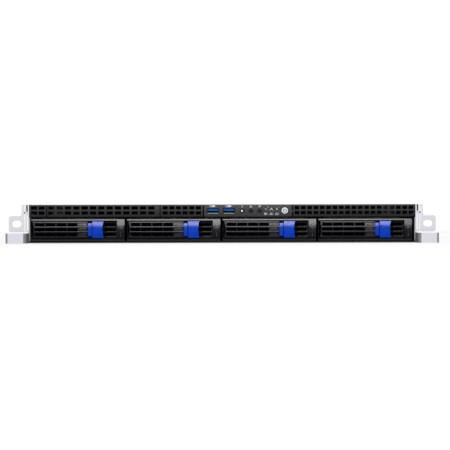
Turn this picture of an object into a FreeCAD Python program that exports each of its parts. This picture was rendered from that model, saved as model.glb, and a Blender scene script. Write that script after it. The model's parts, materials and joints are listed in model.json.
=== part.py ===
import FreeCAD, Part

import math
import os

# A 1U rack server with four hot-swap drive bays, in millimetres.
# +X is to the right seen from the front, +Y runs to the rear and +Z is up.
# The origin lies midway between the two rack slots, on the plane where the ears meet the rack.

Vec = FreeCAD.Vector

# ---- sheet metal and clearances -------------------------------------------------------------
sheet = 1.0            # steel of the pan, covers and rear panel
divider_sheet = 1.0    # steel between the bays
shelf_sheet = 0.8      # steel over the bays
ear_sheet = 1.5        # steel of the rack ears
panel_wall = 1.5       # moulded front panels
seam = 0.5             # line between two front panels or two covers
fit_gap = 0.3          # gap between pieces that pass each other
pin_gap = 0.08         # radial play of a pin in its hole

# ---- drives and trays -----------------------------------------------------------------------
drive_width = 101.6
drive_height = 26.1
drive_length = 147.0
drive_side_gap = 0.15
drive_under_gap = 0.1
bay_count = 4
rail_wall = 1.7        # side rails of a tray
tray_floor = 0.8
tray_side_ledge = 12.0  # floor left around the tray's opening
tray_front_ledge = 14.0
tray_back_ledge = 24.0
tray_lift = 0.4        # tray floor above the pan
tray_head_gap = 0.4    # drive below the shelf
tray_left_gap = 1.1    # tray to the divider on its left
tray_right_gap = 0.6   # tray to the divider on its right
bay_edge = 1.0         # first and last bay to the pan's walls
rail_height = 20.0
rail_behind_front = 142.0
tray_nose = 14.0       # depth of the tray's moulded front
tray_face_height = 24.7
face_bar_top = 1.7     # bar above the lever
face_bar_bottom = 2.4
face_edge = 0.8        # rolled edge along the top of the face
face_post = 8.4        # post with the two lights
face_round = 0.8       # rounded vertical edges of the post and bars
tray_crown = 1.7       # bulge of the whole tray front, about an axis along X
web_wall = 1.6         # pierced web behind the lever

# ---- lever and latch of a tray --------------------------------------------------------------
lever_reach = 63.0     # pivot end to grip end
lever_wall = 4.6
lever_pin_radius = 1.1
lever_side_gap = 0.9   # lever to the bars above and below it
lever_pin_depth = 1.0  # pin inside each bar
lever_edge = 0.7       # rolled edges along the top and bottom of the lever
slot_columns = 4
slot_rows = 3
slot_width = 11.3
slot_height = 3.4
slot_pitch_x = 12.4
slot_pitch_z = 5.5
slot_inset = 3.2       # lever end to first slot
grip_width = 8.6
grip_depth = 0.7
latch_neck_width = 5.0
latch_neck_height = 14.6
latch_pad_width = 13.0
latch_pad_dish = 1.2   # hollow of the pad's right edge; the left one has half of it
latch_pad_over = 0.1   # pad beyond the lever's height, above and below
latch_step = 0.5       # neck behind the lever's face
latch_proud = 0.8      # pad ahead of the lever's face
latch_edge = 0.6       # rolled edges along the top and bottom of the pad
latch_wall = 4.2
latch_travel = 3.0
latch_foot = 1.4
light_radius = 0.9
light_depth = 0.8
light_rise = 5.7       # upper light above the lever's middle
light_pitch = 8.8

# ---- upper front band -----------------------------------------------------------------------
band_height = 12.8     # shelf to lid, clear
end_panel_width = 20.0
left_panel_width = 127.9
middle_panel_width = 48.9
control_panel_width = 100.4
vent_height = 3.7
vent_row_pitch = 5.7
vent_top_margin = 1.8
vent_corner = 0.5
end_vent_columns = 2
end_vent_pitch = 8.5
end_vent_width = 6.9
left_vent_columns = 13
left_vent_pitch = 9.4
left_vent_width = 7.2
left_vent_shift = -2.3  # the left grille sits nearer to its panel's outer end
middle_vent_columns = 6
middle_vent_pitch = 7.5
middle_vent_width = 5.8
right_vent_columns = 19
right_vent_pitch = 7.15
right_vent_width = 5.4
panel_return = 8.0     # foot of each panel, resting on the shelf
bezel_proud = 6.0      # front faces ahead of the rack plane

# ---- control panel --------------------------------------------------------------------------
usb_width = 13.2
usb_height = 5.8
usb_length = 17.0
usb_wall = 0.35
usb_tongue_width = 11.0
usb_tongue_wall = 1.9
usb_pitch = 18.2
control_height = 6.8   # middle of ports and buttons above the shelf
power_radius = 3.5
button_radius = 1.9
button_pitch = 9.9
button_travel = 0.8
control_margin = 3.8   # panel's left edge to the ports
port_button_gap = 6.3  # ports to the small buttons
button_light_gap = 6.6
light_power_gap = 2.6
power_margin = 5.3     # power button to the panel's right edge
dish_width = 0.9       # ring sunk round each button
dish_depth = 0.7
status_radius = 0.7
status_pitch_x = 6.2
status_pitch_z = 5.0
status_rise = 4.0      # upper row above the ports' middle
control_board_wall = 1.6
control_board_depth = 58.0
control_board_lift = 1.2

# ---- rack ears ------------------------------------------------------------------------------
ear_tab_width = 14.5   # tab beyond the strip; 482.6 over both ears
rack_slot_inset = 8.75  # slot's middle to the tab's edge; the slots are 465.1 apart
rack_slot_length = 11.0
rack_slot_height = 7.6
ear_flange = 2.0
ear_tab_height = 18.2
ear_tab_round = 2.5
ear_strip_width = 8.8  # full-height strip beside the body
ear_side_length = 62.0
bead_width = 3.4
bead_proud = 1.4
relief_width = 2.0
relief_top = 7.4
relief_gap = 3.4
peep_radius = 0.9
handle_reach = 30.0    # rack plane to the handle's front
handle_height = 11.2
handle_bend = 3.8      # outer radius of the handle's bends
handle_lip_bend = 2.8  # outer bend, into the lip
handle_lip = 10.0
screw_head_radius = 2.7
screw_head = 1.1
screw_radius = 1.4
screw_length = 5.0
ear_tab_fillet = 2.6   # hollow corner between strip and tab

# ---- inside, front to rear ------------------------------------------------------------------
socket_depth = 10.0
socket_width = 46.0
socket_height = 6.5
socket_gap = 0.5       # drive to socket
board_wall = 1.6
cable_space = 27.0
fan_size = 40.0
fan_depth = 28.0
fan_count = 4
fan_bore = 18.9
fan_hub = 10.0
fan_blades = 7
blade_wall = 1.0
fan_tip_gap = 0.7
shaft_radius = 1.5
fan_lift = 0.3
wing_wall = 2.0
wing_top = 15.0        # fan axis to the top of its wings
plenum = 84.0          # fans to mainboard
main_board_length = 330.0
main_board_edge = 4.0  # left wall to the board
board_side_gap = 10.0  # board to the wall beside the supplies
standoff_height = 6.5
standoff_radius = 3.0
standoff_inset = 10.0  # pillar to the board's edge
standoff_rear_inset = 38.0
rear_gap = 2.0         # mainboard to rear panel
sink_size = 88.0
sink_base = 4.0
sink_height = 25.0
sink_setback = 70.0    # board's front edge to the first processor's middle
sink_space = 34.0
fin_count = 18
fin_wall = 1.0
processor_height = 5.0
processor_width = 72.0
processor_depth = 60.0
module_length = 133.3
module_height = 18.5   # very low profile, as a 1U body needs
module_wall = 1.4
module_pitch = 9.5
modules_per_bank = 6
module_setback = 46.0  # board's front edge to the modules
module_clear = 12.0    # heatsink to the first module
dimm_socket_height = 7.0
dimm_socket_width = 6.4
duct_wall = 1.2

# ---- rear wall ------------------------------------------------------------------------------
io_kinds = (
    ("serial", 31.0, 12.5),
    ("network", 16.0, 13.5),
    ("usb", 14.6, 15.4),
    ("network", 16.0, 13.5),
    ("network", 16.0, 13.5),
    ("video", 31.0, 12.5),
)
io_space = 5.0
io_depth = 21.0
io_proud = 0.6
io_wall = 1.2
blank_width = 121.0
blank_height = 18.5
blank_wall = 0.9
blank_overlap = 1.6
blank_top_gap = 2.0
rear_vent_width = 7.0
rear_vent_height = 3.4
rear_vent_pitch_x = 9.4
rear_vent_pitch_z = 5.2

# ---- power supplies -------------------------------------------------------------------------
psu_width = 54.5
psu_height = 40.0
psu_length = 220.0
psu_gap = 1.0
psu_side_gap = 0.5
psu_face_wall = 2.0
handle_wire = 1.6      # radius of the pull handle's wire
handle_out = 24.0
handle_span = 26.0
inlet_width = 27.0
inlet_height = 19.5
inlet_depth = 16.0
inlet_wall = 2.2
psu_latch_width = 5.0
psu_slots = 6
psu_slot_pitch = 5.0
psu_slot_width = 2.8
inlet_proud = 1.5

# ---- covers ---------------------------------------------------------------------------------
cover_flange = 6.0     # depth of the side rails
rail_setback = 2.0
bracket_width = 12.0
bracket_inset = 26.0   # side wall to the middle of a bracket
bracket_front = 40.0
bracket_rear = 25.0
groove_width = 5.0
groove_depth = 0.4
groove_round = 14.0
groove_margin = 34.0
release_length = 18.0
release_width = 34.0
release_wall = 1.2
release_rim = 2.0
release_place = 16.0   # front edge of the sliding cover to the release's middle

# ---- derived: across ------------------------------------------------------------------------
tray_width = drive_width + 2 * (rail_wall + drive_side_gap)
bay_pitch = tray_width + tray_left_gap + tray_right_gap + divider_sheet
half_inner = bay_count * bay_pitch / 2 + bay_edge
half_width = half_inner + sheet
half_rack = half_width + ear_strip_width + ear_tab_width
half_slots = half_rack - rack_slot_inset

# ---- derived: up ----------------------------------------------------------------------------
bay_height = tray_lift + tray_floor + drive_under_gap + drive_height + tray_head_gap
body_height = sheet + bay_height + shelf_sheet + band_height + sheet
bottom_z = -body_height / 2
top_z = body_height / 2
floor_z = bottom_z + sheet
lid_z = top_z - sheet
shelf_z = floor_z + bay_height
shelf_top = shelf_z + shelf_sheet
wall_top = lid_z - fit_gap
control_z = shelf_top + control_height
main_board_top = floor_z + standoff_height + board_wall

# ---- derived: front to rear -----------------------------------------------------------------
front_y = -bezel_proud
panel_back = front_y + panel_wall
drive_y = front_y + tray_nose + drive_under_gap
socket_y = drive_y + drive_length + socket_gap
backplane_y = socket_y + socket_depth
fan_y = backplane_y + board_wall + cable_space
main_board_y = fan_y + fan_depth + plenum
back_y = main_board_y + main_board_length + rear_gap + sheet
cover_seam_y = backplane_y + board_wall + 2.0

# ---- derived: trays -------------------------------------------------------------------------
face_bottom = floor_z + tray_lift + tray_floor + fit_gap
face_top = face_bottom + tray_face_height
lever_bottom = face_bottom + face_bar_bottom + lever_side_gap
lever_top = face_top - face_bar_top - lever_side_gap
lever_z = (lever_top + lever_bottom) / 2
pivot_radius = lever_wall / 2
pivot_y = front_y + lever_wall - pivot_radius
lever_x = 0.6          # lever's pivot end inside the tray's left edge
web_y = front_y + lever_wall + fit_gap + 0.3
latch_x = lever_x + lever_reach + fit_gap
pad_x = latch_x + latch_neck_width - 0.2
face_z = (face_top + face_bottom) / 2
face_bow = ((tray_face_height / 2) ** 2 + tray_crown ** 2) / (2 * tray_crown)


def box(x0, x1, y0, y1, z0, z1):
    """A block between two corners."""
    return Part.makeBox(x1 - x0, y1 - y0, z1 - z0, Vec(x0, y0, z0))


def rod(radius, start, end):
    """A round bar from one point to another."""
    axis = Vec(*end) - Vec(*start)
    return Part.makeCylinder(radius, axis.Length, Vec(*start), axis)


def fuse(shapes):
    """One clean solid from pieces that meet."""
    return shapes[0].multiFuse(shapes[1:]).removeSplitter()


def prism(points, direction):
    """A flat outline drawn out along a direction."""
    wire = Part.makePolygon([Vec(*p) for p in points] + [Vec(*points[0])])
    return Part.Face(wire).extrude(Vec(*direction))


def stadium(x0, x1, z0, z1, y0, y1, left=True, right=True):
    """A slot along X, cut through in Y, with a round or square end on each side."""
    radius = (z1 - z0) / 2
    middle = (z0 + z1) / 2
    pieces = [box(x0 + radius * left, x1 - radius * right, y0, y1, z0, z1)]
    if left:
        pieces.append(rod(radius, (x0 + radius, y0, middle), (x0 + radius, y1, middle)))
    if right:
        pieces.append(rod(radius, (x1 - radius, y0, middle), (x1 - radius, y1, middle)))
    return fuse(pieces) if len(pieces) > 1 else pieces[0]


def edges_along(shape, axis, at):
    """The straight edges of a shape that run along an axis and pass a test of their middle."""
    found = []
    for edge in shape.Edges:
        run = edge.lastVertex().Point - edge.firstVertex().Point
        if run.Length > 1e-6 and abs(run.normalize().dot(axis)) > 0.999 and at(edge.CenterOfMass):
            found.append(edge)
    return found


def bay_left(bay):
    """X of a tray's left edge."""
    return -bay_count * bay_pitch / 2 + bay * bay_pitch + tray_left_gap / 2


# ---- body shell -----------------------------------------------------------------------------
def side_screw_places():
    """Y and Z of the screws that hold each ear to the pan."""
    return [(18.0, bottom_z + 9), (18.0, top_z - 11), (ear_side_length - 12, 0.0)]


def standoff_places():
    """X and Y of the pillars under the mainboard."""
    left = main_board_left()
    right = main_board_right()
    rear = main_board_y + main_board_length
    xs = [left + standoff_inset, (left + right) / 2, right - standoff_inset]
    ys = [main_board_y + standoff_inset, main_board_y + main_board_length / 2,
          rear - standoff_rear_inset]
    return [(x, y) for x in xs for y in ys]


def main_board_left():
    return -half_inner + main_board_edge


def psu_left():
    return half_inner - fit_gap - sheet - psu_side_gap - 2 * psu_width - psu_gap


def main_board_right():
    return psu_left() - psu_side_gap - sheet - board_side_gap


def chassis_pan():
    """Steel floor with a side wall welded along each edge, and the mainboard's pillars."""
    floor = box(-half_inner, half_inner, panel_back, back_y, bottom_z, floor_z)
    walls = []
    for side in (-1, 1):
        x0, x1 = sorted((side * half_inner, side * half_width))
        wall = box(x0, x1, panel_back, back_y, bottom_z, wall_top)
        outer = edges_along(wall, Vec(0, 1, 0),
                            lambda c: c.z < bottom_z + 0.01 and abs(c.x) > half_inner + 0.1)
        walls.append(wall.makeFillet(sheet * 0.8, outer))
    pillars = [
        rod(standoff_radius, (x, y, floor_z), (x, y, floor_z + standoff_height))
        for x, y in standoff_places()
    ]
    holes = [
        rod(screw_radius + pin_gap, (side * (half_inner - 1), y, z), (side * (half_width + 1), y, z))
        for side in (-1, 1)
        for y, z in side_screw_places()
    ]
    walls = [wall.cut(Part.makeCompound(holes)) for wall in walls]
    return Part.makeCompound([floor] + walls + pillars)


def io_places():
    """Left edge, width, height and kind of each rear port, along the mainboard."""
    places = []
    x = main_board_left() + 12.0
    for kind, width, height in io_kinds:
        places.append((x, width, height, kind))
        x += width + io_space
    return places




def blank_left():
    """The expansion window lies over the right half of the mainboard."""
    return main_board_right() - blank_width - 4.0


def rear_vent_columns():
    """Columns of vents that fit over the ports, left of the expansion window."""
    room = blank_left() - 6.0 - (main_board_left() + 4.0)
    return int(room / rear_vent_pitch_x)


def rear_panel():
    """Rear wall with port holes, vents, the expansion window and the wall beside the supplies."""
    y0 = back_y - sheet
    psu_x = psu_left() - psu_side_gap
    plate = box(-half_inner, half_inner, y0, back_y, floor_z, wall_top)
    cuts = [box(psu_x, half_inner + 1, y0 - 1, back_y + 1, floor_z - 1, wall_top + 1)]
    cuts.append(box(-half_inner - 1, -half_inner + sheet + 2 * fit_gap, y0 - 1, back_y + 1,
                    lid_z - cover_flange - fit_gap, wall_top + 1))
    for x, width, height, kind in io_places():
        cuts.append(box(x - fit_gap, x + width + fit_gap, y0 - 1, back_y + 1,
                        main_board_top - fit_gap, main_board_top + height + fit_gap))
    x = blank_left()
    z = wall_top - blank_top_gap - blank_height
    cuts.append(box(x + blank_overlap, x + blank_width - blank_overlap, y0 - 1, back_y + 1,
                    z + blank_overlap, z + blank_height - blank_overlap))
    port_top = main_board_top + max(height for _, _, height, _ in io_places()) + 2.5
    rows = int((wall_top - 1.5 - port_top) / rear_vent_pitch_z)
    for column in range(rear_vent_columns()):
        for row in range(rows):
            left = main_board_left() + 4.0 + column * rear_vent_pitch_x
            low = port_top + row * rear_vent_pitch_z
            cuts.append(box(left, left + rear_vent_width, y0 - 1, back_y + 1,
                            low, low + rear_vent_height))
    plate = plate.cut(Part.makeCompound(cuts))
    wall = box(psu_x - sheet, psu_x, back_y - psu_length, back_y, floor_z, wall_top - cover_flange)
    return fuse([plate, wall])


def expansion_blank():
    """Cover plate over the expansion window, with a pressed rib."""
    x = blank_left()
    z = wall_top - blank_top_gap - blank_height
    plate = box(x, x + blank_width, back_y, back_y + blank_wall, z, z + blank_height)
    rib = box(x + 14, x + blank_width - 14, back_y, back_y + 2 * blank_wall,
              z + blank_height / 2 - 2, z + blank_height / 2 + 2)
    return fuse([plate, rib])


def cage_shelf():
    """Steel shelf over the bays, with pads that carry the control board."""
    shelf = box(-half_inner + fit_gap, half_inner - fit_gap, panel_back, backplane_y,
                shelf_z, shelf_top)
    pads = [
        rod(2.2, (x, y, shelf_top), (x, y, shelf_top + control_board_lift))
        for x in (control_left() + 5, control_left() + control_panel_width - 5)
        for y in (panel_back + panel_return + 8, panel_back + control_board_depth - 8)
    ]
    return fuse([shelf] + pads)


def bay_dividers():
    """Upright plates on the right of each tray."""
    plates = []
    for bay in range(bay_count):
        x = bay_left(bay) + tray_width + tray_right_gap
        plates.append(box(x, x + divider_sheet, panel_back, backplane_y, floor_z, shelf_z))
    return Part.makeCompound(plates)


# ---- front panels ---------------------------------------------------------------------------
def panel_edges():
    """Left and right edge of each front panel, from left to right."""
    widths = [end_panel_width, left_panel_width, middle_panel_width, control_panel_width]
    edges = []
    x = -half_width
    for width in widths:
        edges.append((x + seam / 2, x + width - seam / 2))
        x += width
    edges.append((x + seam / 2, half_width - seam / 2))
    return edges


def control_left():
    return panel_edges()[3][0]


def plain_panel(x0, x1):
    """Front plate with a foot that rests on the shelf; its long front edges are rounded."""
    plate = box(x0, x1, front_y, panel_back, shelf_z, top_z)
    top = edges_along(plate, Vec(1, 0, 0), lambda c: c.z > top_z - 0.1 and c.y < front_y + 0.1)
    plate = plate.makeFillet(panel_wall * 0.6, top)
    low = edges_along(plate, Vec(1, 0, 0), lambda c: c.z < shelf_z + 0.1 and c.y < front_y + 0.1)
    plate = plate.makeFillet(panel_wall * 0.9, low)
    inset = sheet + 2 * fit_gap
    foot = box(x0 + inset, x1 - inset, panel_back, panel_back + panel_return,
               shelf_top, shelf_top + control_board_lift)
    return fuse([plate, foot])


def vent_panel(index, columns, pitch, width, shift=0.0):
    """A front panel pierced by two rows of rectangular vents."""
    x0, x1 = panel_edges()[index]
    middle = (x0 + x1) / 2 + shift
    first = middle - ((columns - 1) * pitch + width) / 2
    cuts = []
    for column in range(columns):
        for row in range(2):
            left = first + column * pitch
            high = top_z - vent_top_margin - row * vent_row_pitch
            hole = box(left, left + width, front_y - 1, panel_back + 1, high - vent_height, high)
            cuts.append(hole.makeFillet(vent_corner, edges_along(hole, Vec(0, 1, 0), lambda c: True)))
    panel = plain_panel(x0, x1)
    return panel.cut(Part.makeCompound(cuts))


def control_groups():
    """Left edges of the ports, small buttons, lights and power button, and the panel's spare room.

    The gaps keep their proportions and share what the groups leave of the panel's width.
    """
    gaps = [control_margin, port_button_gap, button_light_gap, light_power_gap, power_margin]
    groups = [
        usb_pitch + usb_width,
        2 * (button_pitch + button_radius),
        2 * (status_pitch_x + status_radius),
        2 * power_radius,
    ]
    spread = (control_panel_width - sum(groups)) / sum(gaps)
    edges = []
    x = control_left()
    for gap, group in zip(gaps, groups):
        x += gap * spread
        edges.append(x)
        x += group
    return edges


def button_places():
    """Name, X and radius of each push button."""
    _, first, _, power = control_groups()
    small = [first + button_radius + n * button_pitch for n in range(3)]
    return [
        ("id_button", small[0], button_radius),
        ("nmi_button", small[1], button_radius),
        ("reset_button", small[2], button_radius),
        ("power_button", power + power_radius, power_radius),
    ]


def status_places():
    """X and Z of the six status lights."""
    left = control_groups()[2] + status_radius
    return [
        (left + column * status_pitch_x, control_z + status_rise - row * status_pitch_z)
        for column in range(3)
        for row in range(2)
    ]


def usb_places():
    return [control_groups()[0] + usb_width / 2 + n * usb_pitch for n in range(2)]


def control_panel():
    """Moulded panel with openings for two ports, four buttons and six lights."""
    x0, x1 = panel_edges()[3]
    panel = plain_panel(x0, x1)
    cuts = []
    for x in usb_places():
        cuts.append(box(x - usb_width / 2 - fit_gap, x + usb_width / 2 + fit_gap,
                        front_y - 1, panel_back + 1,
                        control_z - usb_height / 2 - fit_gap, control_z + usb_height / 2 + fit_gap))
    for _, x, radius in button_places():
        cuts.append(rod(radius + fit_gap, (x, front_y - 1, control_z), (x, panel_back + 1, control_z)))
        cuts.append(rod(radius + dish_width, (x, front_y - 1, control_z),
                        (x, front_y + dish_depth, control_z)))
    for x, z in status_places():
        cuts.append(rod(status_radius + pin_gap, (x, front_y - 1, z), (x, panel_back + 1, z)))
    return panel.cut(Part.makeCompound(cuts))


def push_button(x, radius):
    """Button with a crowned cap, a retaining rim behind the panel and a stem to its switch."""
    cap = rod(radius, (x, front_y - 0.3, control_z), (x, panel_back + 0.8, control_z))
    crown = [e for e in cap.Edges if abs(e.CenterOfMass.y - (front_y - 0.3)) < 0.01]
    cap = cap.makeFillet(0.4, crown)
    rim = rod(radius + 2 * fit_gap, (x, panel_back + fit_gap / 2, control_z),
              (x, panel_back + 1.0, control_z))
    stem = rod(radius * 0.5, (x, panel_back + 1.0, control_z), (x, panel_back + 4.0, control_z))
    return fuse([cap, rim, stem])


def status_lights():
    """Round light pipes, flush with the panel."""
    return Part.makeCompound([
        rod(status_radius, (x, front_y - 0.1, z), (x, panel_back + 1.5, z))
        for x, z in status_places()
    ])


def usb_shells():
    """Steel tubes of the two ports."""
    shells = []
    for x in usb_places():
        w = usb_width / 2
        h = usb_height / 2
        tube = box(x - w, x + w, front_y + 0.2, front_y + usb_length, control_z - h, control_z + h)
        bore = box(x - w + usb_wall, x + w - usb_wall, front_y - 1, front_y + usb_length - usb_wall,
                   control_z - h + usb_wall, control_z + h - usb_wall)
        shells.append(tube.cut(bore))
    return Part.makeCompound(shells)


def usb_tongues():
    """Contact blades inside the ports, under the upper wall."""
    tongues = []
    for x in usb_places():
        high = control_z + usb_height / 2 - usb_wall - 0.7
        back = front_y + usb_length - usb_wall
        blade = box(x - usb_tongue_width / 2, x + usb_tongue_width / 2, front_y + 0.9, back,
                    high - usb_tongue_wall, high)
        block = box(x - usb_tongue_width / 2, x + usb_tongue_width / 2, back - 4.0, back,
                    control_z - usb_height / 2 + usb_wall, high)
        tongues.append(fuse([blade, block]))
    return Part.makeCompound(tongues)


def control_board():
    """Small board behind the control panel, with a switch for each button and port risers."""
    x0 = control_left() + 1.0
    x1 = x0 + control_panel_width - 2.5
    low = shelf_top + control_board_lift
    high = low + control_board_wall
    y0 = panel_back + panel_return + 1.0
    pieces = [box(x0, x1, y0, panel_back + control_board_depth, low, high)]
    switch_y = panel_back + 4.0 + button_travel + fit_gap
    for _, x, radius in button_places():
        pieces.append(box(x - 3, x + 3, switch_y, switch_y + 9, low, control_z + 2.5))
    for x in usb_places():
        pieces.append(box(x - 4, x + 4, front_y + usb_length, front_y + usb_length + 3,
                          low, control_z + usb_height / 2))
    return fuse(pieces)


# ---- rack ears ------------------------------------------------------------------------------
def left_ear_profile():
    """Plan of the handle: out of the side plate, forward, outward and a lip back."""
    outer = -half_width - ear_sheet
    r_out = handle_bend
    r_in = handle_bend - ear_sheet
    r_lip = handle_lip_bend
    r_lip_in = handle_lip_bend - ear_sheet
    y_front = -handle_reach
    x_end = -half_rack
    y_lip = y_front + handle_lip
    inner = -half_width
    c1 = Vec(outer - r_in, y_front + r_out, 0)
    c2 = Vec(x_end + r_lip, y_front + r_lip, 0)
    d = math.sqrt(0.5)
    edges = [
        Part.LineSegment(Vec(inner, front_y + 2, 0), Vec(inner, c1.y, 0)),
        Part.Arc(Vec(inner, c1.y, 0), c1 + Vec(r_out * d, -r_out * d, 0), Vec(c1.x, y_front, 0)),
        Part.LineSegment(Vec(c1.x, y_front, 0), Vec(c2.x, y_front, 0)),
        Part.Arc(Vec(c2.x, y_front, 0), c2 + Vec(-r_lip * d, -r_lip * d, 0), Vec(x_end, c2.y, 0)),
        Part.LineSegment(Vec(x_end, c2.y, 0), Vec(x_end, y_lip, 0)),
        Part.LineSegment(Vec(x_end, y_lip, 0), Vec(x_end + ear_sheet, y_lip, 0)),
        Part.LineSegment(Vec(x_end + ear_sheet, y_lip, 0), Vec(x_end + ear_sheet, c2.y, 0)),
        Part.Arc(Vec(x_end + ear_sheet, c2.y, 0), c2 + Vec(-r_lip_in * d, -r_lip_in * d, 0),
                 Vec(c2.x, y_front + ear_sheet, 0)),
        Part.LineSegment(Vec(c2.x, y_front + ear_sheet, 0), Vec(c1.x, y_front + ear_sheet, 0)),
        Part.Arc(Vec(c1.x, y_front + ear_sheet, 0), c1 + Vec(r_in * d, -r_in * d, 0),
                 Vec(outer, c1.y, 0)),
        Part.LineSegment(Vec(outer, c1.y, 0), Vec(outer, front_y + 2, 0)),
        Part.LineSegment(Vec(outer, front_y + 2, 0), Vec(inner, front_y + 2, 0)),
    ]
    wire = Part.Wire([e.toShape() for e in edges])
    wire.translate(Vec(0, 0, bottom_z))
    return Part.Face(wire)


def left_ear():
    """Folded bracket: side plate, slotted tab, beaded strip and pull handle."""
    outer = -half_width - ear_sheet
    side = box(outer, -half_width, front_y + 0.5, ear_side_length, bottom_z, top_z)
    tab_half = ear_tab_height / 2
    strip_x = -half_width - ear_strip_width
    strip = box(strip_x, -half_width - ear_sheet / 2, -ear_flange, 0, -tab_half, top_z)
    tab = box(-half_rack, strip_x + 1, -ear_flange, 0, -tab_half, tab_half)
    corners = edges_along(tab, Vec(0, 1, 0), lambda c: c.x < -half_rack + 0.1)
    tab = tab.makeFillet(ear_tab_round, corners)
    bead_x = outer - relief_width - bead_width / 2
    bead = Part.makeCylinder(bead_width / 2, tab_half + top_z, Vec(0, 0, -tab_half), Vec(0, 0, 1))
    squash = FreeCAD.Matrix()
    squash.scale(1.0, bead_proud / (bead_width / 2), 1.0)
    bead = bead.transformGeometry(squash)
    bead.translate(Vec(bead_x, -ear_flange, 0))
    bead = bead.common(box(bead_x - bead_width, bead_x + bead_width, -ear_flange - bead_proud - 1,
                           -ear_flange / 2, -tab_half, top_z))
    handle = left_ear_profile().extrude(Vec(0, 0, handle_height))
    plate = fuse([strip, tab])
    hollow = edges_along(plate, Vec(0, 1, 0), lambda c: (c - Vec(strip_x, c.y, tab_half)).Length < 0.01)
    plate = plate.makeFillet(ear_tab_fillet, hollow)
    ear = fuse([side, plate, bead, handle])
    slot_x = -half_slots
    cuts = [stadium(slot_x - rack_slot_length / 2, slot_x + rack_slot_length / 2,
                    -rack_slot_height / 2, rack_slot_height / 2, -ear_flange - 1, 1)]
    low = top_z - relief_top
    cuts.append(box(outer - relief_width, outer, -ear_flange - 1, 1, low, top_z + 1))
    cuts.append(box(outer - relief_width, outer, -ear_flange - 1, 1,
                    -tab_half + relief_gap / 2, low - relief_gap))
    cuts.append(rod(peep_radius, (bead_x, -ear_flange - bead_proud - 1, low - relief_gap / 2),
                    (bead_x, 1, low - relief_gap / 2)))
    for y, z in side_screw_places():
        cuts.append(rod(screw_radius + pin_gap, (outer - 1, y, z), (-half_width + 1, y, z)))
    return ear.cut(Part.makeCompound(cuts))


def right_ear():
    """The left ear mirrored."""
    return left_ear().mirror(Vec(0, 0, 0), Vec(1, 0, 0))


def screw(base, inward, length):
    """Pan-head screw: its head stands on base and its shank points inward."""
    out = Vec(*inward) * -1
    head = Part.makeCylinder(screw_head_radius, screw_head, Vec(*base), out)
    rim = [e for e in head.Edges if abs((e.CenterOfMass - Vec(*base)).dot(out) - screw_head) < 0.01]
    head = head.makeFillet(screw_head * 0.5, rim[:1])
    shank = Part.makeCylinder(screw_radius, length, Vec(*base), Vec(*inward))
    return fuse([head, shank])


def cover_screw_places():
    """X and Y of the screws through the fixed front cover into its brackets."""
    x = half_inner - bracket_inset
    return [(side * x, y) for side in (-1, 1) for y in (bracket_front, backplane_y - bracket_rear)]


def case_screws():
    """Screws of both ears and of the front cover."""
    screws = []
    for side in (-1, 1):
        for y, z in side_screw_places():
            screws.append(screw((side * (half_width + ear_sheet), y, z), (-side, 0, 0),
                                ear_sheet + sheet + 2 * fit_gap))
    for x, y in cover_screw_places():
        screws.append(screw((x, y, top_z - screw_head), (0, 0, -1), screw_length))
    return Part.makeCompound(screws)


# ---- covers ---------------------------------------------------------------------------------
def cover_plate(y0, y1):
    """Flat cover sheet with rounded long edges."""
    plate = box(-half_width, half_width, y0, y1, lid_z, top_z)
    long_edges = edges_along(plate, Vec(0, 1, 0), lambda c: c.z > top_z - 0.01)
    return plate.makeFillet(sheet * 0.7, long_edges)


def cover_rails(y0, y1):
    """Side rails welded under a cover; they run inside the pan's walls."""
    x = half_inner - fit_gap
    low = lid_z - cover_flange
    return [
        box(-x, -x + sheet, y0 + rail_setback, y1 - rail_setback, low, lid_z),
        box(x - sheet, x, y0 + rail_setback, y1 - rail_setback, low, lid_z),
    ]


def front_cover():
    """Fixed cover over the bays, with a bracket under each screw."""
    y1 = cover_seam_y - seam / 2
    holes = []
    brackets = []
    for x, y in cover_screw_places():
        seat = top_z - screw_head
        r = bracket_width / 2
        brackets.append(box(x - r, x + r, y - r, y + r, shelf_top, lid_z))
        holes.append(rod(screw_radius + pin_gap, (x, y, seat - screw_length - 1), (x, y, top_z)))
        holes.append(rod(screw_head_radius + fit_gap, (x, y, seat), (x, y, top_z + 1)))
    holes = Part.makeCompound(holes)
    pieces = [cover_plate(panel_back, y1)] + brackets
    return Part.makeCompound([piece.cut(holes) for piece in pieces] + cover_rails(panel_back, y1))


def pressed_frame(x0, x1, y0, y1):
    """Rounded rectangular groove pressed into a cover's upper face."""
    outer = box(x0, x1, y0, y1, top_z - groove_depth, top_z + 1)
    outer = outer.makeFillet(groove_round, edges_along(outer, Vec(0, 0, 1), lambda c: True))
    inner = box(x0 + groove_width, x1 - groove_width, y0 + groove_width, y1 - groove_width,
                top_z - groove_depth - 1, top_z + 2)
    inner = inner.makeFillet(groove_round - groove_width,
                             edges_along(inner, Vec(0, 0, 1), lambda c: True))
    return outer.cut(inner)


def top_cover():
    """Sliding cover over the rest, with two pressed frames and a window for its release."""
    y0 = cover_seam_y + seam / 2
    plate = cover_plate(y0, back_y)
    y = cover_seam_y + release_place
    window = box(-release_width / 2, release_width / 2, y - release_length / 2,
                 y + release_length / 2, lid_z - 1, top_z + 1)
    first = y + release_length / 2 + groove_margin
    x = half_width - groove_margin
    cuts = [window]
    for side in (-1, 1):
        ends = sorted((side * x, side * groove_margin / 2))
        cuts.append(pressed_frame(ends[0], ends[1], first, back_y - groove_margin))
    return Part.makeCompound([plate.cut(Part.makeCompound(cuts))] + cover_rails(y0, back_y))


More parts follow.
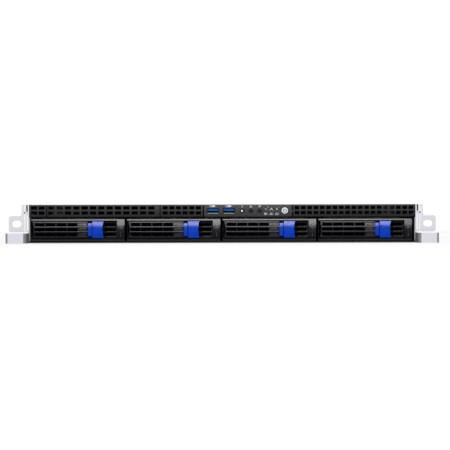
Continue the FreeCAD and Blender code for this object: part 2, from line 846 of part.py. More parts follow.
def cover_release():
    """Push pad in the cover's window, with a rim that stops it under the sheet."""
    y = cover_seam_y + release_place
    w = release_width / 2 - fit_gap
    d = release_length / 2 - fit_gap
    pad = box(-w, w, y - d, y + d, lid_z - fit_gap / 2, top_z)
    upright = edges_along(pad, Vec(0, 0, 1), lambda c: True)
    pad = pad.makeFillet(1.5, upright)
    groove = box(-w + 4, w - 4, y - 1, y + 1, top_z - 0.4, top_z + 1)
    low = lid_z - fit_gap / 2 - release_wall
    rim = box(-w - release_rim, w + release_rim, y - d - release_rim, y + d + release_rim,
              low, lid_z - fit_gap / 2)
    return fuse([pad.cut(groove), rim])


# ---- trays ----------------------------------------------------------------------------------
def bowed(x0, x1, proud=0.0):
    """Cylinder along X that shapes the front of a tray, its lever and its latch."""
    y = front_y - tray_crown + face_bow
    return rod(face_bow + proud, (x0 - 1, y, face_z), (x1 + 1, y, face_z))


def front_edges(shape, z):
    """Long edges along X at a height, at the front of a bowed shape."""
    return edges_along(shape, Vec(1, 0, 0), lambda c: abs(c.z - z) < 0.01 and c.y < front_y + 1)


def slot_row_z(row):
    """Middle of a row of slots, counted from the top."""
    return lever_z + ((slot_rows - 1) / 2 - row) * slot_pitch_z


def tray(bay):
    """Tray: moulded face with a pierced web and a light post, two rails and a floor."""
    x0 = bay_left(bay)
    x1 = x0 + tray_width
    nose_end = front_y + tray_nose
    crown_y = front_y - tray_crown
    face = box(x0, x1, crown_y, nose_end, face_bottom, face_top)
    upright = edges_along(face, Vec(0, 0, 1), lambda c: c.y < crown_y + 0.1)
    face = face.makeFillet(face_round, upright).common(bowed(x0, x1))
    face = face.makeFillet(face_edge, front_edges(face, face_top))
    post_x = x1 - face_post
    low = face_bottom + face_bar_bottom
    high = face_top - face_bar_top
    pocket = box(x0 - 1, post_x, crown_y - 1, web_y, low, high)
    lever_void = box(x0 + lever_x + 4.2, x0 + lever_x + lever_reach - 4, web_y - 1, nose_end + 1,
                     low + 1.6, high - 1.6)
    hollow = box(x0 + lever_x + lever_reach - 4, post_x - 1.2, web_y + web_wall, nose_end + 1,
                 low, high)
    cuts = [pocket, lever_void, hollow]
    slot_x0 = x0 + pad_x + latch_foot + 4.0
    for row in range(slot_rows):
        z = slot_row_z(row)
        cuts.append(stadium(slot_x0, post_x - 1.8, z - slot_height / 2, z + slot_height / 2,
                            web_y - 1, web_y + web_wall + 1, left=False))
    pivot = (x0 + lever_x + pivot_radius, pivot_y)
    cuts.append(rod(lever_pin_radius + pin_gap, (*pivot, low - lever_pin_depth - fit_gap),
                    (*pivot, high + lever_pin_depth + fit_gap)))
    cuts.append(latch_window(x0))
    for n in range(2):
        z = lever_z + light_rise - n * light_pitch
        x = x1 - face_post / 2
        hole = rod(light_radius, (x, crown_y - 1, z), (x, front_y + 1, z))
        cuts.append(hole.cut(bowed(x0, x1, -light_depth)))
    face = face.cut(Part.makeCompound(cuts))
    rail_y = nose_end + rail_behind_front
    z0 = floor_z + tray_lift
    floor = box(x0, x1, nose_end - 2, rail_y, z0, z0 + tray_floor)
    opening = box(x0 + tray_side_ledge, x1 - tray_side_ledge, nose_end + tray_front_ledge,
                  rail_y - tray_back_ledge, z0 - 1, z0 + tray_floor + 1)
    left = box(x0, x0 + rail_wall, nose_end - 2, rail_y, z0, z0 + rail_height)
    right = box(x1 - rail_wall, x1, nose_end - 2, rail_y, z0, z0 + rail_height)
    root = box(x0, x1, nose_end - 2, nose_end, z0, face_bottom + 1)
    return fuse([face, floor.cut(opening), left, right, root])


def latch_window(x0):
    """Opening in the web for the latch's stem, long enough for its travel."""
    stem_x = x0 + pad_x + 2.5
    return box(stem_x - fit_gap, stem_x + 4.0 + latch_travel + fit_gap, web_y - 1,
               web_y + web_wall + 1, lever_z - 1.6 - fit_gap, lever_z + 1.6 + fit_gap)


def lever(bay):
    """Swing lever with a slotted grille, a ribbed grip and pivot pins at its left end."""
    x0 = bay_left(bay) + lever_x
    x1 = x0 + lever_reach
    back = front_y + lever_wall
    centre = x0 + pivot_radius
    crown_y = front_y - tray_crown
    nose = pivot_y - crown_y
    c1 = Vec(x0 + nose, pivot_y, 0)
    c2 = Vec(centre, pivot_y, 0)
    d = math.sqrt(0.5)
    edges = [
        Part.LineSegment(Vec(x1, back, 0), Vec(x1, crown_y, 0)),
        Part.LineSegment(Vec(x1, crown_y, 0), Vec(c1.x, crown_y, 0)),
        Part.Arc(Vec(c1.x, crown_y, 0), c1 + Vec(-nose * d, -nose * d, 0), Vec(x0, pivot_y, 0)),
        Part.Arc(Vec(x0, pivot_y, 0), c2 + Vec(-pivot_radius * d, pivot_radius * d, 0),
                 Vec(centre, back, 0)),
        Part.LineSegment(Vec(centre, back, 0), Vec(x1, back, 0)),
    ]
    plan = Part.Face(Part.Wire([e.toShape() for e in edges]))
    plan.translate(Vec(0, 0, lever_bottom))
    body = plan.extrude(Vec(0, 0, lever_top - lever_bottom)).common(bowed(x0, x1))
    rims = front_edges(body, lever_top) + front_edges(body, lever_bottom)
    body = body.makeFillet(lever_edge, rims)
    cuts = []
    for row in range(slot_rows):
        z = slot_row_z(row)
        for column in range(slot_columns):
            left = x0 + slot_inset + column * slot_pitch_x
            cuts.append(stadium(left, left + slot_width, z - slot_height / 2, z + slot_height / 2,
                                crown_y - 1, back + 1, column == 0, column == slot_columns - 1))
    grip_x = x0 + slot_inset + slot_columns * slot_pitch_x + 0.2
    grip_end = min(grip_x + grip_width, x1 - 1.4)
    for row in range(slot_rows):
        z = slot_row_z(row)
        pocket = stadium(grip_x, grip_end, z - slot_height / 2, z + slot_height / 2,
                         crown_y - 1, front_y + 1, left=False)
        cuts.append(pocket.cut(bowed(x0, x1, -grip_depth)))
    hollow_depth = back - lever_wall * 0.42
    cuts.append(box(grip_x, x1 - 1.2, hollow_depth, back + 1, lever_bottom + 1.2, lever_top - 1.2))
    body = body.cut(Part.makeCompound(cuts))
    reach = lever_side_gap + lever_pin_depth
    pin_bottom = rod(lever_pin_radius, (centre, pivot_y, lever_bottom - reach),
                     (centre, pivot_y, lever_bottom + 1))
    pin_top = rod(lever_pin_radius, (centre, pivot_y, lever_top - 1),
                  (centre, pivot_y, lever_top + reach))
    return fuse([body, pin_bottom, pin_top])


def latch(bay):
    """Blue sliding latch: a neck beside the lever, a broad pad and a stem through the web."""
    x0 = bay_left(bay)
    neck_x = x0 + latch_x
    left = x0 + pad_x
    right = left + latch_pad_width
    back = front_y + latch_wall
    half = latch_neck_height / 2
    low = lever_bottom - latch_pad_over
    high = lever_top + latch_pad_over
    neck = box(neck_x, left + latch_pad_dish, front_y - tray_crown, back, lever_z - half, lever_z + half)
    neck = neck.makeFillet(1.2, edges_along(neck, Vec(0, 1, 0), lambda c: c.x < neck_x + 0.1))
    neck = neck.common(bowed(neck_x, left, -latch_step))
    edges = [
        Part.LineSegment(Vec(left, back, low), Vec(right, back, low)),
        Part.Arc(Vec(right, back, low), Vec(right - latch_pad_dish, back, lever_z),
                 Vec(right, back, high)),
        Part.LineSegment(Vec(right, back, high), Vec(left, back, high)),
        Part.Arc(Vec(left, back, high), Vec(left + latch_pad_dish / 2, back, lever_z),
                 Vec(left, back, low)),
    ]
    outline = Part.Face(Part.Wire([e.toShape() for e in edges]))
    pad = outline.extrude(Vec(0, front_y - tray_crown - latch_proud - back, 0))
    pad = pad.common(bowed(left, right, latch_proud))
    pad = pad.makeFillet(latch_edge, front_edges(pad, low) + front_edges(pad, high))
    stem_x = left + 2.5
    behind = web_y + web_wall + fit_gap
    stem = box(stem_x, stem_x + 4.0, back - 1, behind + latch_foot, lever_z - 1.6, lever_z + 1.6)
    foot = box(stem_x - latch_foot, stem_x + 4.0 + latch_foot, behind, behind + latch_foot,
               lever_z - 3.4, lever_z + 3.4)
    return fuse([neck, pad, stem, foot])


def drive(bay):
    """3.5-inch drive: cast body with a stepped lid and an edge connector."""
    x0 = bay_left(bay) + rail_wall + drive_side_gap
    z0 = floor_z + tray_lift + tray_floor + drive_under_gap
    x1 = x0 + drive_width
    y1 = drive_y + drive_length
    body = box(x0, x1, drive_y, y1, z0, z0 + drive_height - 1.0)
    upright = edges_along(body, Vec(0, 0, 1), lambda c: True)
    body = body.makeFillet(2.0, upright)
    lid = box(x0 + 3, x1 - 3, drive_y + 3, y1 - 3, z0 + drive_height - 1.5, z0 + drive_height)
    lid = lid.makeFillet(6.0, edges_along(lid, Vec(0, 0, 1), lambda c: True))
    return fuse([body, lid])


# ---- inside ---------------------------------------------------------------------------------
def socket_middle(bay):
    return bay_left(bay) + tray_width / 2


def backplane():
    """Board behind the bays, with air slots under the shelf line and over it."""
    z0 = floor_z + fit_gap
    z1 = lid_z - cover_flange - fit_gap
    board = box(-half_inner + 2, half_inner - 2, backplane_y, backplane_y + board_wall, z0, z1)
    cuts = []
    for bay in range(bay_count):
        for side in (-1, 1):
            x = socket_middle(bay) + side * (socket_width / 2 + 13)
            cuts.append(box(x - 10, x + 10, backplane_y - 1, backplane_y + board_wall + 1,
                            floor_z + 6, shelf_z - 4))
    return board.cut(Part.makeCompound(cuts))


def drive_sockets():
    """One socket behind each drive."""
    z0 = floor_z + tray_lift + tray_floor + 1.0
    sockets = []
    for bay in range(bay_count):
        x = socket_middle(bay)
        body = box(x - socket_width / 2, x + socket_width / 2, socket_y, backplane_y,
                   z0, z0 + socket_height)
        mouth = box(x - socket_width / 2 + 2, x + socket_width / 2 - 2, socket_y - 1, socket_y + 5,
                    z0 + 2, z0 + socket_height - 2)
        sockets.append(body.cut(mouth))
    return Part.makeCompound(sockets)


def fan_pitch():
    return (2 * half_inner - 4.0) / fan_count


def fan_centre(fan):
    """X and Z of a fan's axis."""
    x = -half_inner + 2.0 + (fan + 0.5) * fan_pitch()
    return x, floor_z + fan_lift + fan_size / 2


def fan_frames():
    """Fan housings: a square duct with four struts, and wings that close the wall."""
    frames = []
    for fan in range(fan_count):
        x, z = fan_centre(fan)
        half = fan_size / 2
        body = box(x - half, x + half, fan_y, fan_y + fan_depth, z - half, z + half)
        body = body.makeFillet(3.0, edges_along(body, Vec(0, 1, 0), lambda c: True))
        body = body.cut(rod(fan_bore, (x, fan_y - 1, z), (x, fan_y + fan_depth + 1, z)))
        wing_end = fan_pitch() / 2 - fit_gap / 2
        strut_y = fan_y + fan_depth - 3.0
        pieces = [
            body,
            box(x - wing_end, x - half + 1, fan_y + 2, fan_y + 2 + wing_wall, floor_z, z + wing_top),
            box(x + half - 1, x + wing_end, fan_y + 2, fan_y + 2 + wing_wall, floor_z, z + wing_top),
            box(x - fan_bore - 0.5, x + fan_bore + 0.5, strut_y, strut_y + 2.0, z - 0.9, z + 0.9),
            box(x - 0.9, x + 0.9, strut_y, strut_y + 2.0, z - fan_bore - 0.5, z + fan_bore + 0.5),
            rod(fan_hub, (x, strut_y - 1.5, z), (x, fan_y + fan_depth, z)),
        ]
        frame = fuse(pieces)
        bearing = rod(shaft_radius + pin_gap, (x, fan_y, z), (x, strut_y + 2.0, z))
        frames.append(frame.cut(bearing))
    return Part.makeCompound(frames)


def fan_rotor(fan):
    """Hub, shaft and raked blades."""
    x, z = fan_centre(fan)
    hub_end = fan_y + fan_depth - 3.0 - 1.5 - 2 * fit_gap
    hub_start = fan_y + 3.0
    hub = rod(fan_hub, (x, hub_start, z), (x, hub_end, z))
    shaft = rod(shaft_radius, (x, hub_end - 1, z), (x, fan_y + fan_depth - 1.5, z))
    tip = fan_bore - fan_tip_gap
    depth = hub_end - hub_start - 4.0
    blades = []
    for n in range(fan_blades):
        outline = [
            (fan_hub - 1.0, hub_start + 2.0, -blade_wall / 2),
            (fan_hub - 1.0, hub_start + 2.0, blade_wall / 2),
            (fan_hub - 1.0, hub_start + 2.0 + depth, blade_wall / 2 + depth * 0.42),
            (fan_hub - 1.0, hub_start + 2.0 + depth, -blade_wall / 2 + depth * 0.42),
        ]
        blade = prism(outline, (tip - fan_hub, 0, 0))
        blade.rotate(Vec(0, 0, 0), Vec(0, 1, 0), 360.0 * n / fan_blades)
        blade.translate(Vec(x, 0, z))
        blades.append(blade)
    ring = rod(tip, (x, hub_start, z), (x, hub_end, z))
    swept = fuse([hub] + blades).common(ring)
    return fuse([swept, shaft])


def sink_places():
    """X and Y of the middles of the two heatsinks."""
    x = (main_board_left() + main_board_right()) / 2
    first = main_board_y + sink_setback
    return [(x, first), (x, first + sink_size + sink_space)]


def module_xs(side):
    """X of each memory module on one side of the heatsinks."""
    x = sink_places()[0][0] + side * (sink_size / 2 + module_clear)
    return [x + side * n * module_pitch for n in range(modules_per_bank)]


def module_y():
    return main_board_y + module_setback


def main_board():
    """Mainboard with processor blocks and memory sockets soldered on."""
    low = floor_z + standoff_height
    pieces = [box(main_board_left(), main_board_right(), main_board_y,
                  main_board_y + main_board_length, low, main_board_top)]
    for x, y in sink_places():
        w = processor_width / 2
        d = processor_depth / 2
        pieces.append(box(x - w, x + w, y - d, y + d, main_board_top,
                          main_board_top + processor_height))
    for side in (-1, 1):
        for x in module_xs(side):
            body = box(x - dimm_socket_width / 2, x + dimm_socket_width / 2,
                       module_y() - 4, module_y() + module_length + 4,
                       main_board_top, main_board_top + dimm_socket_height)
            groove = box(x - module_wall / 2 - 0.1, x + module_wall / 2 + 0.1,
                         module_y() - 0.2, module_y() + module_length + 0.2,
                         main_board_top + 3.0, main_board_top + dimm_socket_height + 1)
            pieces.append(body.cut(groove))
    return fuse(pieces)


def memory_modules():
    """Memory modules standing in their sockets."""
    low = main_board_top + 3.0
    return Part.makeCompound([
        box(x - module_wall / 2, x + module_wall / 2, module_y(), module_y() + module_length,
            low, low + module_height)
        for side in (-1, 1)
        for x in module_xs(side)
    ])


def heatsinks():
    """Finned blocks on the processors."""
    sinks = []
    low = main_board_top + processor_height
    for x, y in sink_places():
        half = sink_size / 2
        pieces = [box(x - half, x + half, y - half, y + half, low, low + sink_base)]
        step = (sink_size - fin_wall) / (fin_count - 1)
        for n in range(fin_count):
            left = x - half + n * step
            pieces.append(box(left, left + fin_wall, y - half, y + half, low, low + sink_height - 3))
        sinks.append(fuse(pieces))
    return Part.makeCompound(sinks)


def air_duct():
    """Thin hood that leads air from the fans over the heatsinks; it widens towards the fans."""
    y0 = fan_y + fan_depth + 4.0
    y1 = main_board_y + 14.0
    y2 = sink_places()[1][1] + sink_size / 2
    x = sink_places()[0][0]
    wide = fan_pitch() * 0.9
    narrow = sink_size / 2 + 3.0
    high = lid_z - fit_gap
    low = main_board_top
    outline = [(x - wide, y0), (x + wide, y0), (x + narrow, y1), (x + narrow, y2),
               (x - narrow, y2), (x - narrow, y1)]
    inset = duct_wall * 1.2
    inside = [(x - wide + inset, y0 - 1), (x + wide - inset, y0 - 1), (x + narrow - inset, y1),
              (x + narrow - inset, y2 + 1), (x - narrow + inset, y2 + 1), (x - narrow + inset, y1)]
    shell = prism([(*p, low) for p in outline], (0, 0, high - low))
    bore = prism([(*p, low - 1) for p in inside], (0, 0, high - low + 1 - duct_wall))
    return shell.cut(bore)


def io_ports():
    """Metal-shelled ports on the mainboard's rear edge."""
    ports = []
    for x, width, height, kind in io_places():
        y1 = back_y + io_proud
        body = box(x, x + width, y1 - io_depth, y1, main_board_top, main_board_top + height)
        cuts = []
        if kind == "network":
            cuts.append(box(x + 2.0, x + width - 2.0, y1 - 13, y1 + 1,
                            main_board_top + 2.0, main_board_top + height - 3.5))
        elif kind == "usb":
            for n in range(2):
                low = main_board_top + 1.2 + n * 7.2
                cuts.append(box(x + io_wall / 2, x + width - io_wall / 2, y1 - 11, y1 + 1,
                                low, low + 2.4))
        else:
            inner = 4.0
            cuts.append(box(x + inner + 1.5, x + width - inner - 1.5, y1 - 5, y1 + 1,
                            main_board_top + 3.0, main_board_top + height - 3.0))
        ports.append(body.cut(Part.makeCompound(cuts)))
    return Part.makeCompound(ports)


# ---- power supplies -------------------------------------------------------------------------
def psu_x(unit):
    return psu_left() + unit * (psu_width + psu_gap)


def psu_z():
    """Underside and top of a supply."""
    low = floor_z + fit_gap
    return low, low + psu_height


def psu_case(unit):
    """Closed steel case of a power supply."""
    x = psu_x(unit)
    low, high = psu_z()
    case = box(x, x + psu_width, back_y - psu_length, back_y, low, high)
    long_edges = edges_along(case, Vec(0, 1, 0), lambda c: True)
    case = case.makeFillet(1.0, long_edges)
    x0, x1, z0, z1 = inlet_box(unit)
    pocket = box(x0 - fit_gap, x1 + fit_gap, back_y - inlet_depth - fit_gap, back_y + 1,
                 z0 - fit_gap, z1 + fit_gap)
    return case.cut(pocket)


def inlet_box(unit):
    """Left, right, bottom and top of a supply's inlet."""
    x = psu_x(unit) + 4.0
    low = psu_z()[0] + 3.5
    return x, x + inlet_width, low, low + inlet_height


def psu_face(unit):
    """Rear plate of a supply, with slots for its fan and the mains inlet."""
    x = psu_x(unit)
    low, high = psu_z()
    y0 = back_y
    y1 = back_y + psu_face_wall
    plate = box(x, x + psu_width, y0, y1, low, high)
    ix0, ix1, iz0, iz1 = inlet_box(unit)
    inlet = box(ix0, ix1, y0 - inlet_depth, y1 + inlet_proud, iz0, iz1)
    corners = edges_along(inlet, Vec(0, 1, 0), lambda c: c.z > iz1 - 0.1)
    inlet = inlet.makeChamfer(4.0, corners)
    face = fuse([plate, inlet])
    cuts = []
    for n in range(psu_slots):
        left = ix0 + 0.5 + n * psu_slot_pitch
        cuts.append(box(left, left + psu_slot_width, y0 - 1, y1 + 1, iz1 + 2.5, high - 2.5))
    w = inlet_wall
    cavity = box(ix0 + w, ix1 - w, y0 - inlet_depth + w, y1 + 3, iz0 + w, iz1 - w)
    upper = edges_along(cavity, Vec(0, 1, 0), lambda c: c.z > iz1 - w - 0.1)
    cuts.append(cavity.makeChamfer(3.0, upper))
    face = face.cut(Part.makeCompound(cuts))
    middle = (ix0 + ix1) / 2
    blades = [
        box(middle + dx - 1.0, middle + dx + 1.0, y0 - inlet_depth + w - 1, y1 - 3,
            iz0 + dz, iz0 + dz + 4.0)
        for dx, dz in ((-7.0, 5.0), (7.0, 5.0), (0.0, 9.0))
    ]
    return fuse([face] + blades)


def handle_x(unit):
    return psu_x(unit) + psu_width - 16.0


def psu_handle(unit):
    """Bent wire pull handle, standing out behind the supply's face."""
    x = handle_x(unit)
    low, high = psu_z()
    z0 = (low + high - handle_span) / 2
    z1 = z0 + handle_span
    y0 = back_y + psu_face_wall
    y1 = y0 + handle_out
    r = handle_wire * 3
    d = r * (1 - math.sqrt(0.5))
    edges = [
        Part.LineSegment(Vec(x, y0, z0), Vec(x, y1 - r, z0)),
        Part.Arc(Vec(x, y1 - r, z0), Vec(x, y1 - d, z0 + d), Vec(x, y1, z0 + r)),
        Part.LineSegment(Vec(x, y1, z0 + r), Vec(x, y1, z1 - r)),
        Part.Arc(Vec(x, y1, z1 - r), Vec(x, y1 - d, z1 - d), Vec(x, y1 - r, z1)),
        Part.LineSegment(Vec(x, y1 - r, z1), Vec(x, y0, z1)),
    ]
    path = Part.Wire([e.toShape() for e in edges])
    circle = Part.Wire(Part.makeCircle(handle_wire, Vec(x, y0, z0), Vec(0, 1, 0)))
    return path.makePipeShell([circle], True, False)


def psu_latch(unit):
    """Release tab at the right of a supply's face; it slides towards the handle."""
    x1 = psu_x(unit) + psu_width - 1.0
    low, high = psu_z()
    y0 = back_y + psu_face_wall + fit_gap
    z = (low + high) / 2
    plate = box(x1 - psu_latch_width, x1, y0, y0 + 2.0, z - 11, z + 11)
    thumb = box(x1 - 2.0, x1, y0, y0 + 14.0, z - 6, z + 6)
    thumb = thumb.makeFillet(1.8, edges_along(thumb, Vec(1, 0, 0), lambda c: c.y > y0 + 13.9))
    return fuse([plate, thumb])


# ---- all pieces -----------------------------------------------------------------------------
def all_pieces():
    """Name and shape of every node."""
    pieces = {
        "chassis_pan": chassis_pan(),
        "rear_panel": rear_panel(),
        "expansion_blank": expansion_blank(),
        "cage_shelf": cage_shelf(),
        "bay_dividers": bay_dividers(),
        "end_vent_panel": vent_panel(0, end_vent_columns, end_vent_pitch, end_vent_width),
        "left_vent_panel": vent_panel(1, left_vent_columns, left_vent_pitch, left_vent_width,
                                      left_vent_shift),
        "middle_vent_panel": vent_panel(2, middle_vent_columns, middle_vent_pitch,
                                          middle_vent_width),
        "control_panel": control_panel(),
        "right_vent_panel": vent_panel(4, right_vent_columns, right_vent_pitch, right_vent_width),
        "left_ear": left_ear(),
        "right_ear": right_ear(),
        "case_screws": case_screws(),
        "front_cover": front_cover(),
        "top_cover": top_cover(),
        "cover_release": cover_release(),
        "usb_shells": usb_shells(),
        "usb_tongues": usb_tongues(),
        "control_board": control_board(),
        "status_lights": status_lights(),
        "backplane": backplane(),
        "drive_sockets": drive_sockets(),
        "fan_frames": fan_frames(),
        "main_board": main_board(),
        "memory_modules": memory_modules(),
        "heatsinks": heatsinks(),
        "air_duct": air_duct(),
        "io_ports": io_ports(),
    }
    for name, x, radius in button_places():
        pieces[name] = push_button(x, radius)
    for bay in range(bay_count):
        pieces[f"tray_{bay + 1}"] = tray(bay)
        pieces[f"lever_{bay + 1}"] = lever(bay)
        pieces[f"latch_{bay + 1}"] = latch(bay)
        pieces[f"drive_{bay + 1}"] = drive(bay)
    for fan in range(fan_count):
        pieces[f"fan_rotor_{fan + 1}"] = fan_rotor(fan)
    for unit in range(2):
        pieces[f"psu_case_{unit + 1}"] = psu_case(unit)
        pieces[f"psu_face_{unit + 1}"] = psu_face(unit)
        pieces[f"psu_handle_{unit + 1}"] = psu_handle(unit)
        pieces[f"psu_latch_{unit + 1}"] = psu_latch(unit)
    return pieces


os.makedirs("parts", exist_ok=True)
for node, shape in all_pieces().items():
    shape.exportStep(f"parts/{node}.step")
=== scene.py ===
"""Looks of a 1U rack server with four drive trays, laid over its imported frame."""
import contextlib
import functools
import json
import math

import bmesh
import bpy
import numpy as np
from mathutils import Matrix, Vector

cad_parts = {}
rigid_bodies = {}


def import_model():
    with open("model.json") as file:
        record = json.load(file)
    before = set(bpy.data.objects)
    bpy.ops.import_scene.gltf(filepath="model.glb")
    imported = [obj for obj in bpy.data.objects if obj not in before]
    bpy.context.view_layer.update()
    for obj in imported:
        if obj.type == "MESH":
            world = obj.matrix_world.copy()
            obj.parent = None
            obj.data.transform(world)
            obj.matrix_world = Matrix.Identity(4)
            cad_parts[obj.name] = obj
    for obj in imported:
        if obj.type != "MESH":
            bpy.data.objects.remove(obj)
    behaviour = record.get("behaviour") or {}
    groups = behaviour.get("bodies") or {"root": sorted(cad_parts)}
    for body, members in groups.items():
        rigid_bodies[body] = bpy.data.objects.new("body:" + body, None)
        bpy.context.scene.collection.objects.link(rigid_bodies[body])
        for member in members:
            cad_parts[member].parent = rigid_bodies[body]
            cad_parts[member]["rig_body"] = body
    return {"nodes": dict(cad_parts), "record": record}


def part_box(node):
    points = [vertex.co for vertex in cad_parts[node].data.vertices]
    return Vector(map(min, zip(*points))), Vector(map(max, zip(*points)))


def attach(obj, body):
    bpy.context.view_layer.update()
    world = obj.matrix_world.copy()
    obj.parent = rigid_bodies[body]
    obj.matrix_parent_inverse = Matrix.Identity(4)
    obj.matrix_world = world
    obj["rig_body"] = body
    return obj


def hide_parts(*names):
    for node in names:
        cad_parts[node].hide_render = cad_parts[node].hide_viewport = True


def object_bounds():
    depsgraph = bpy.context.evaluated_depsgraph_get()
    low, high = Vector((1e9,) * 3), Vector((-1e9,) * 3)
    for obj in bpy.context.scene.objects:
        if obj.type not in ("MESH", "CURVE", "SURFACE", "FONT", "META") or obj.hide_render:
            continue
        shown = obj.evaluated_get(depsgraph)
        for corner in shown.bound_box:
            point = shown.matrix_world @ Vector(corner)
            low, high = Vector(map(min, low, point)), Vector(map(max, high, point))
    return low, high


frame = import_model()
NODES = frame["nodes"]
CAD_BOX = [list(corner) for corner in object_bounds()]

bl_info = {
    "name": "Rack server looks",
    "version": (1, 0, 0),
    "blender": (4, 5, 0),
    "location": "View3D > Sidebar > Rack server",
    "description": "Finishes and fine pieces of a 1U rack server with four drive trays",
    "category": "Object",
}

MM = 0.001
TRAYS = (1, 2, 3, 4)
SUPPLIES = (1, 2)
FINISHES = {}


def srgb(red, green, blue):
    """Linear colour of a 0-255 display colour: each channel to the power 2.4, with a foot."""
    levels = np.array([red, green, blue], float) / 255
    linear = np.where(levels <= 0.04045, levels / 12.92, ((levels + 0.055) / 1.055) ** 2.4)
    return tuple(float(v) for v in linear)


def box_mm(node):
    """Lowest and highest corner of a node, in millimetres."""
    low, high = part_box(node)
    return np.array(low) / MM, np.array(high) / MM


def middle_mm(node):
    """Middle of a node's box, in millimetres."""
    low, high = box_mm(node)
    return (low + high) / 2


# ---- shader maths ---------------------------------------------------------------------------
class Value:
    """A shader socket that can stand in a formula."""

    def __init__(self, tree, socket):
        self.tree = tree
        self.socket = socket

    def math(self, operation, *others, clamp=False):
        """A Math node whose first input is this socket."""
        return self.tree.value("ShaderNodeMath", 0, {"operation": operation, "use_clamp": clamp},
                               dict(enumerate((self,) + others)))

    def __rsub__(self, other):
        return (self * -1.0) + other

    def __rtruediv__(self, other):
        return self.tree.value("ShaderNodeMath", 0, {"operation": "DIVIDE"}, {0: other, 1: self})

    def ramp(self, start, end):
        """0 below start, 1 above end, straight between; end may be the lower one."""
        return ((self - start) * (1.0 / (end - start))).math("ADD", 0.0, clamp=True)


# The operators of a Value and its plain methods, with the Math node that each adds.
for method, operation in {
        "__add__": "ADD", "__radd__": "ADD", "__sub__": "SUBTRACT", "__mul__": "MULTIPLY",
        "__rmul__": "MULTIPLY", "__truediv__": "DIVIDE", "__abs__": "ABSOLUTE",
        "__lt__": "LESS_THAN", "__gt__": "GREATER_THAN", "low": "MINIMUM", "high": "MAXIMUM",
        "fract": "FRACT", "root": "SQRT"}.items():
    setattr(Value, method, functools.partialmethod(Value.math, operation))


class Tree:
    """A node tree and the one call that adds nodes to it."""

    def __init__(self, tree):
        self.tree = tree
        self.tree.nodes.clear()

    def node(self, kind, settings=None, inputs=None):
        """A node of a kind: its settings are set first, then its inputs are set or linked."""
        made = self.tree.nodes.new(kind)
        for key, value in (settings or {}).items():
            setattr(made, key, value)
        for key, value in (inputs or {}).items():
            self.put(made.inputs[key], value)
        return made

    def put(self, socket, value):
        """Links a socket or formula to an input, or sets the input to a plain value."""
        if isinstance(value, (Value, bpy.types.NodeSocket)):
            self.tree.links.new(getattr(value, "socket", value), socket)
        elif socket.type == "RGBA" and len(value) == 3:
            socket.default_value = (*value, 1)
        else:
            socket.default_value = value

    def value(self, kind, output=0, settings=None, inputs=None):
        """One output of a new node, ready for a formula."""
        return Value(self, self.node(kind, settings, inputs).outputs[output])

    def rays(self, *kinds):
        """1 for rays of each kind and 0 for other rays."""
        path = self.node("ShaderNodeLightPath")
        return [Value(self, path.outputs[f"Is {kind} Ray"]) for kind in kinds]


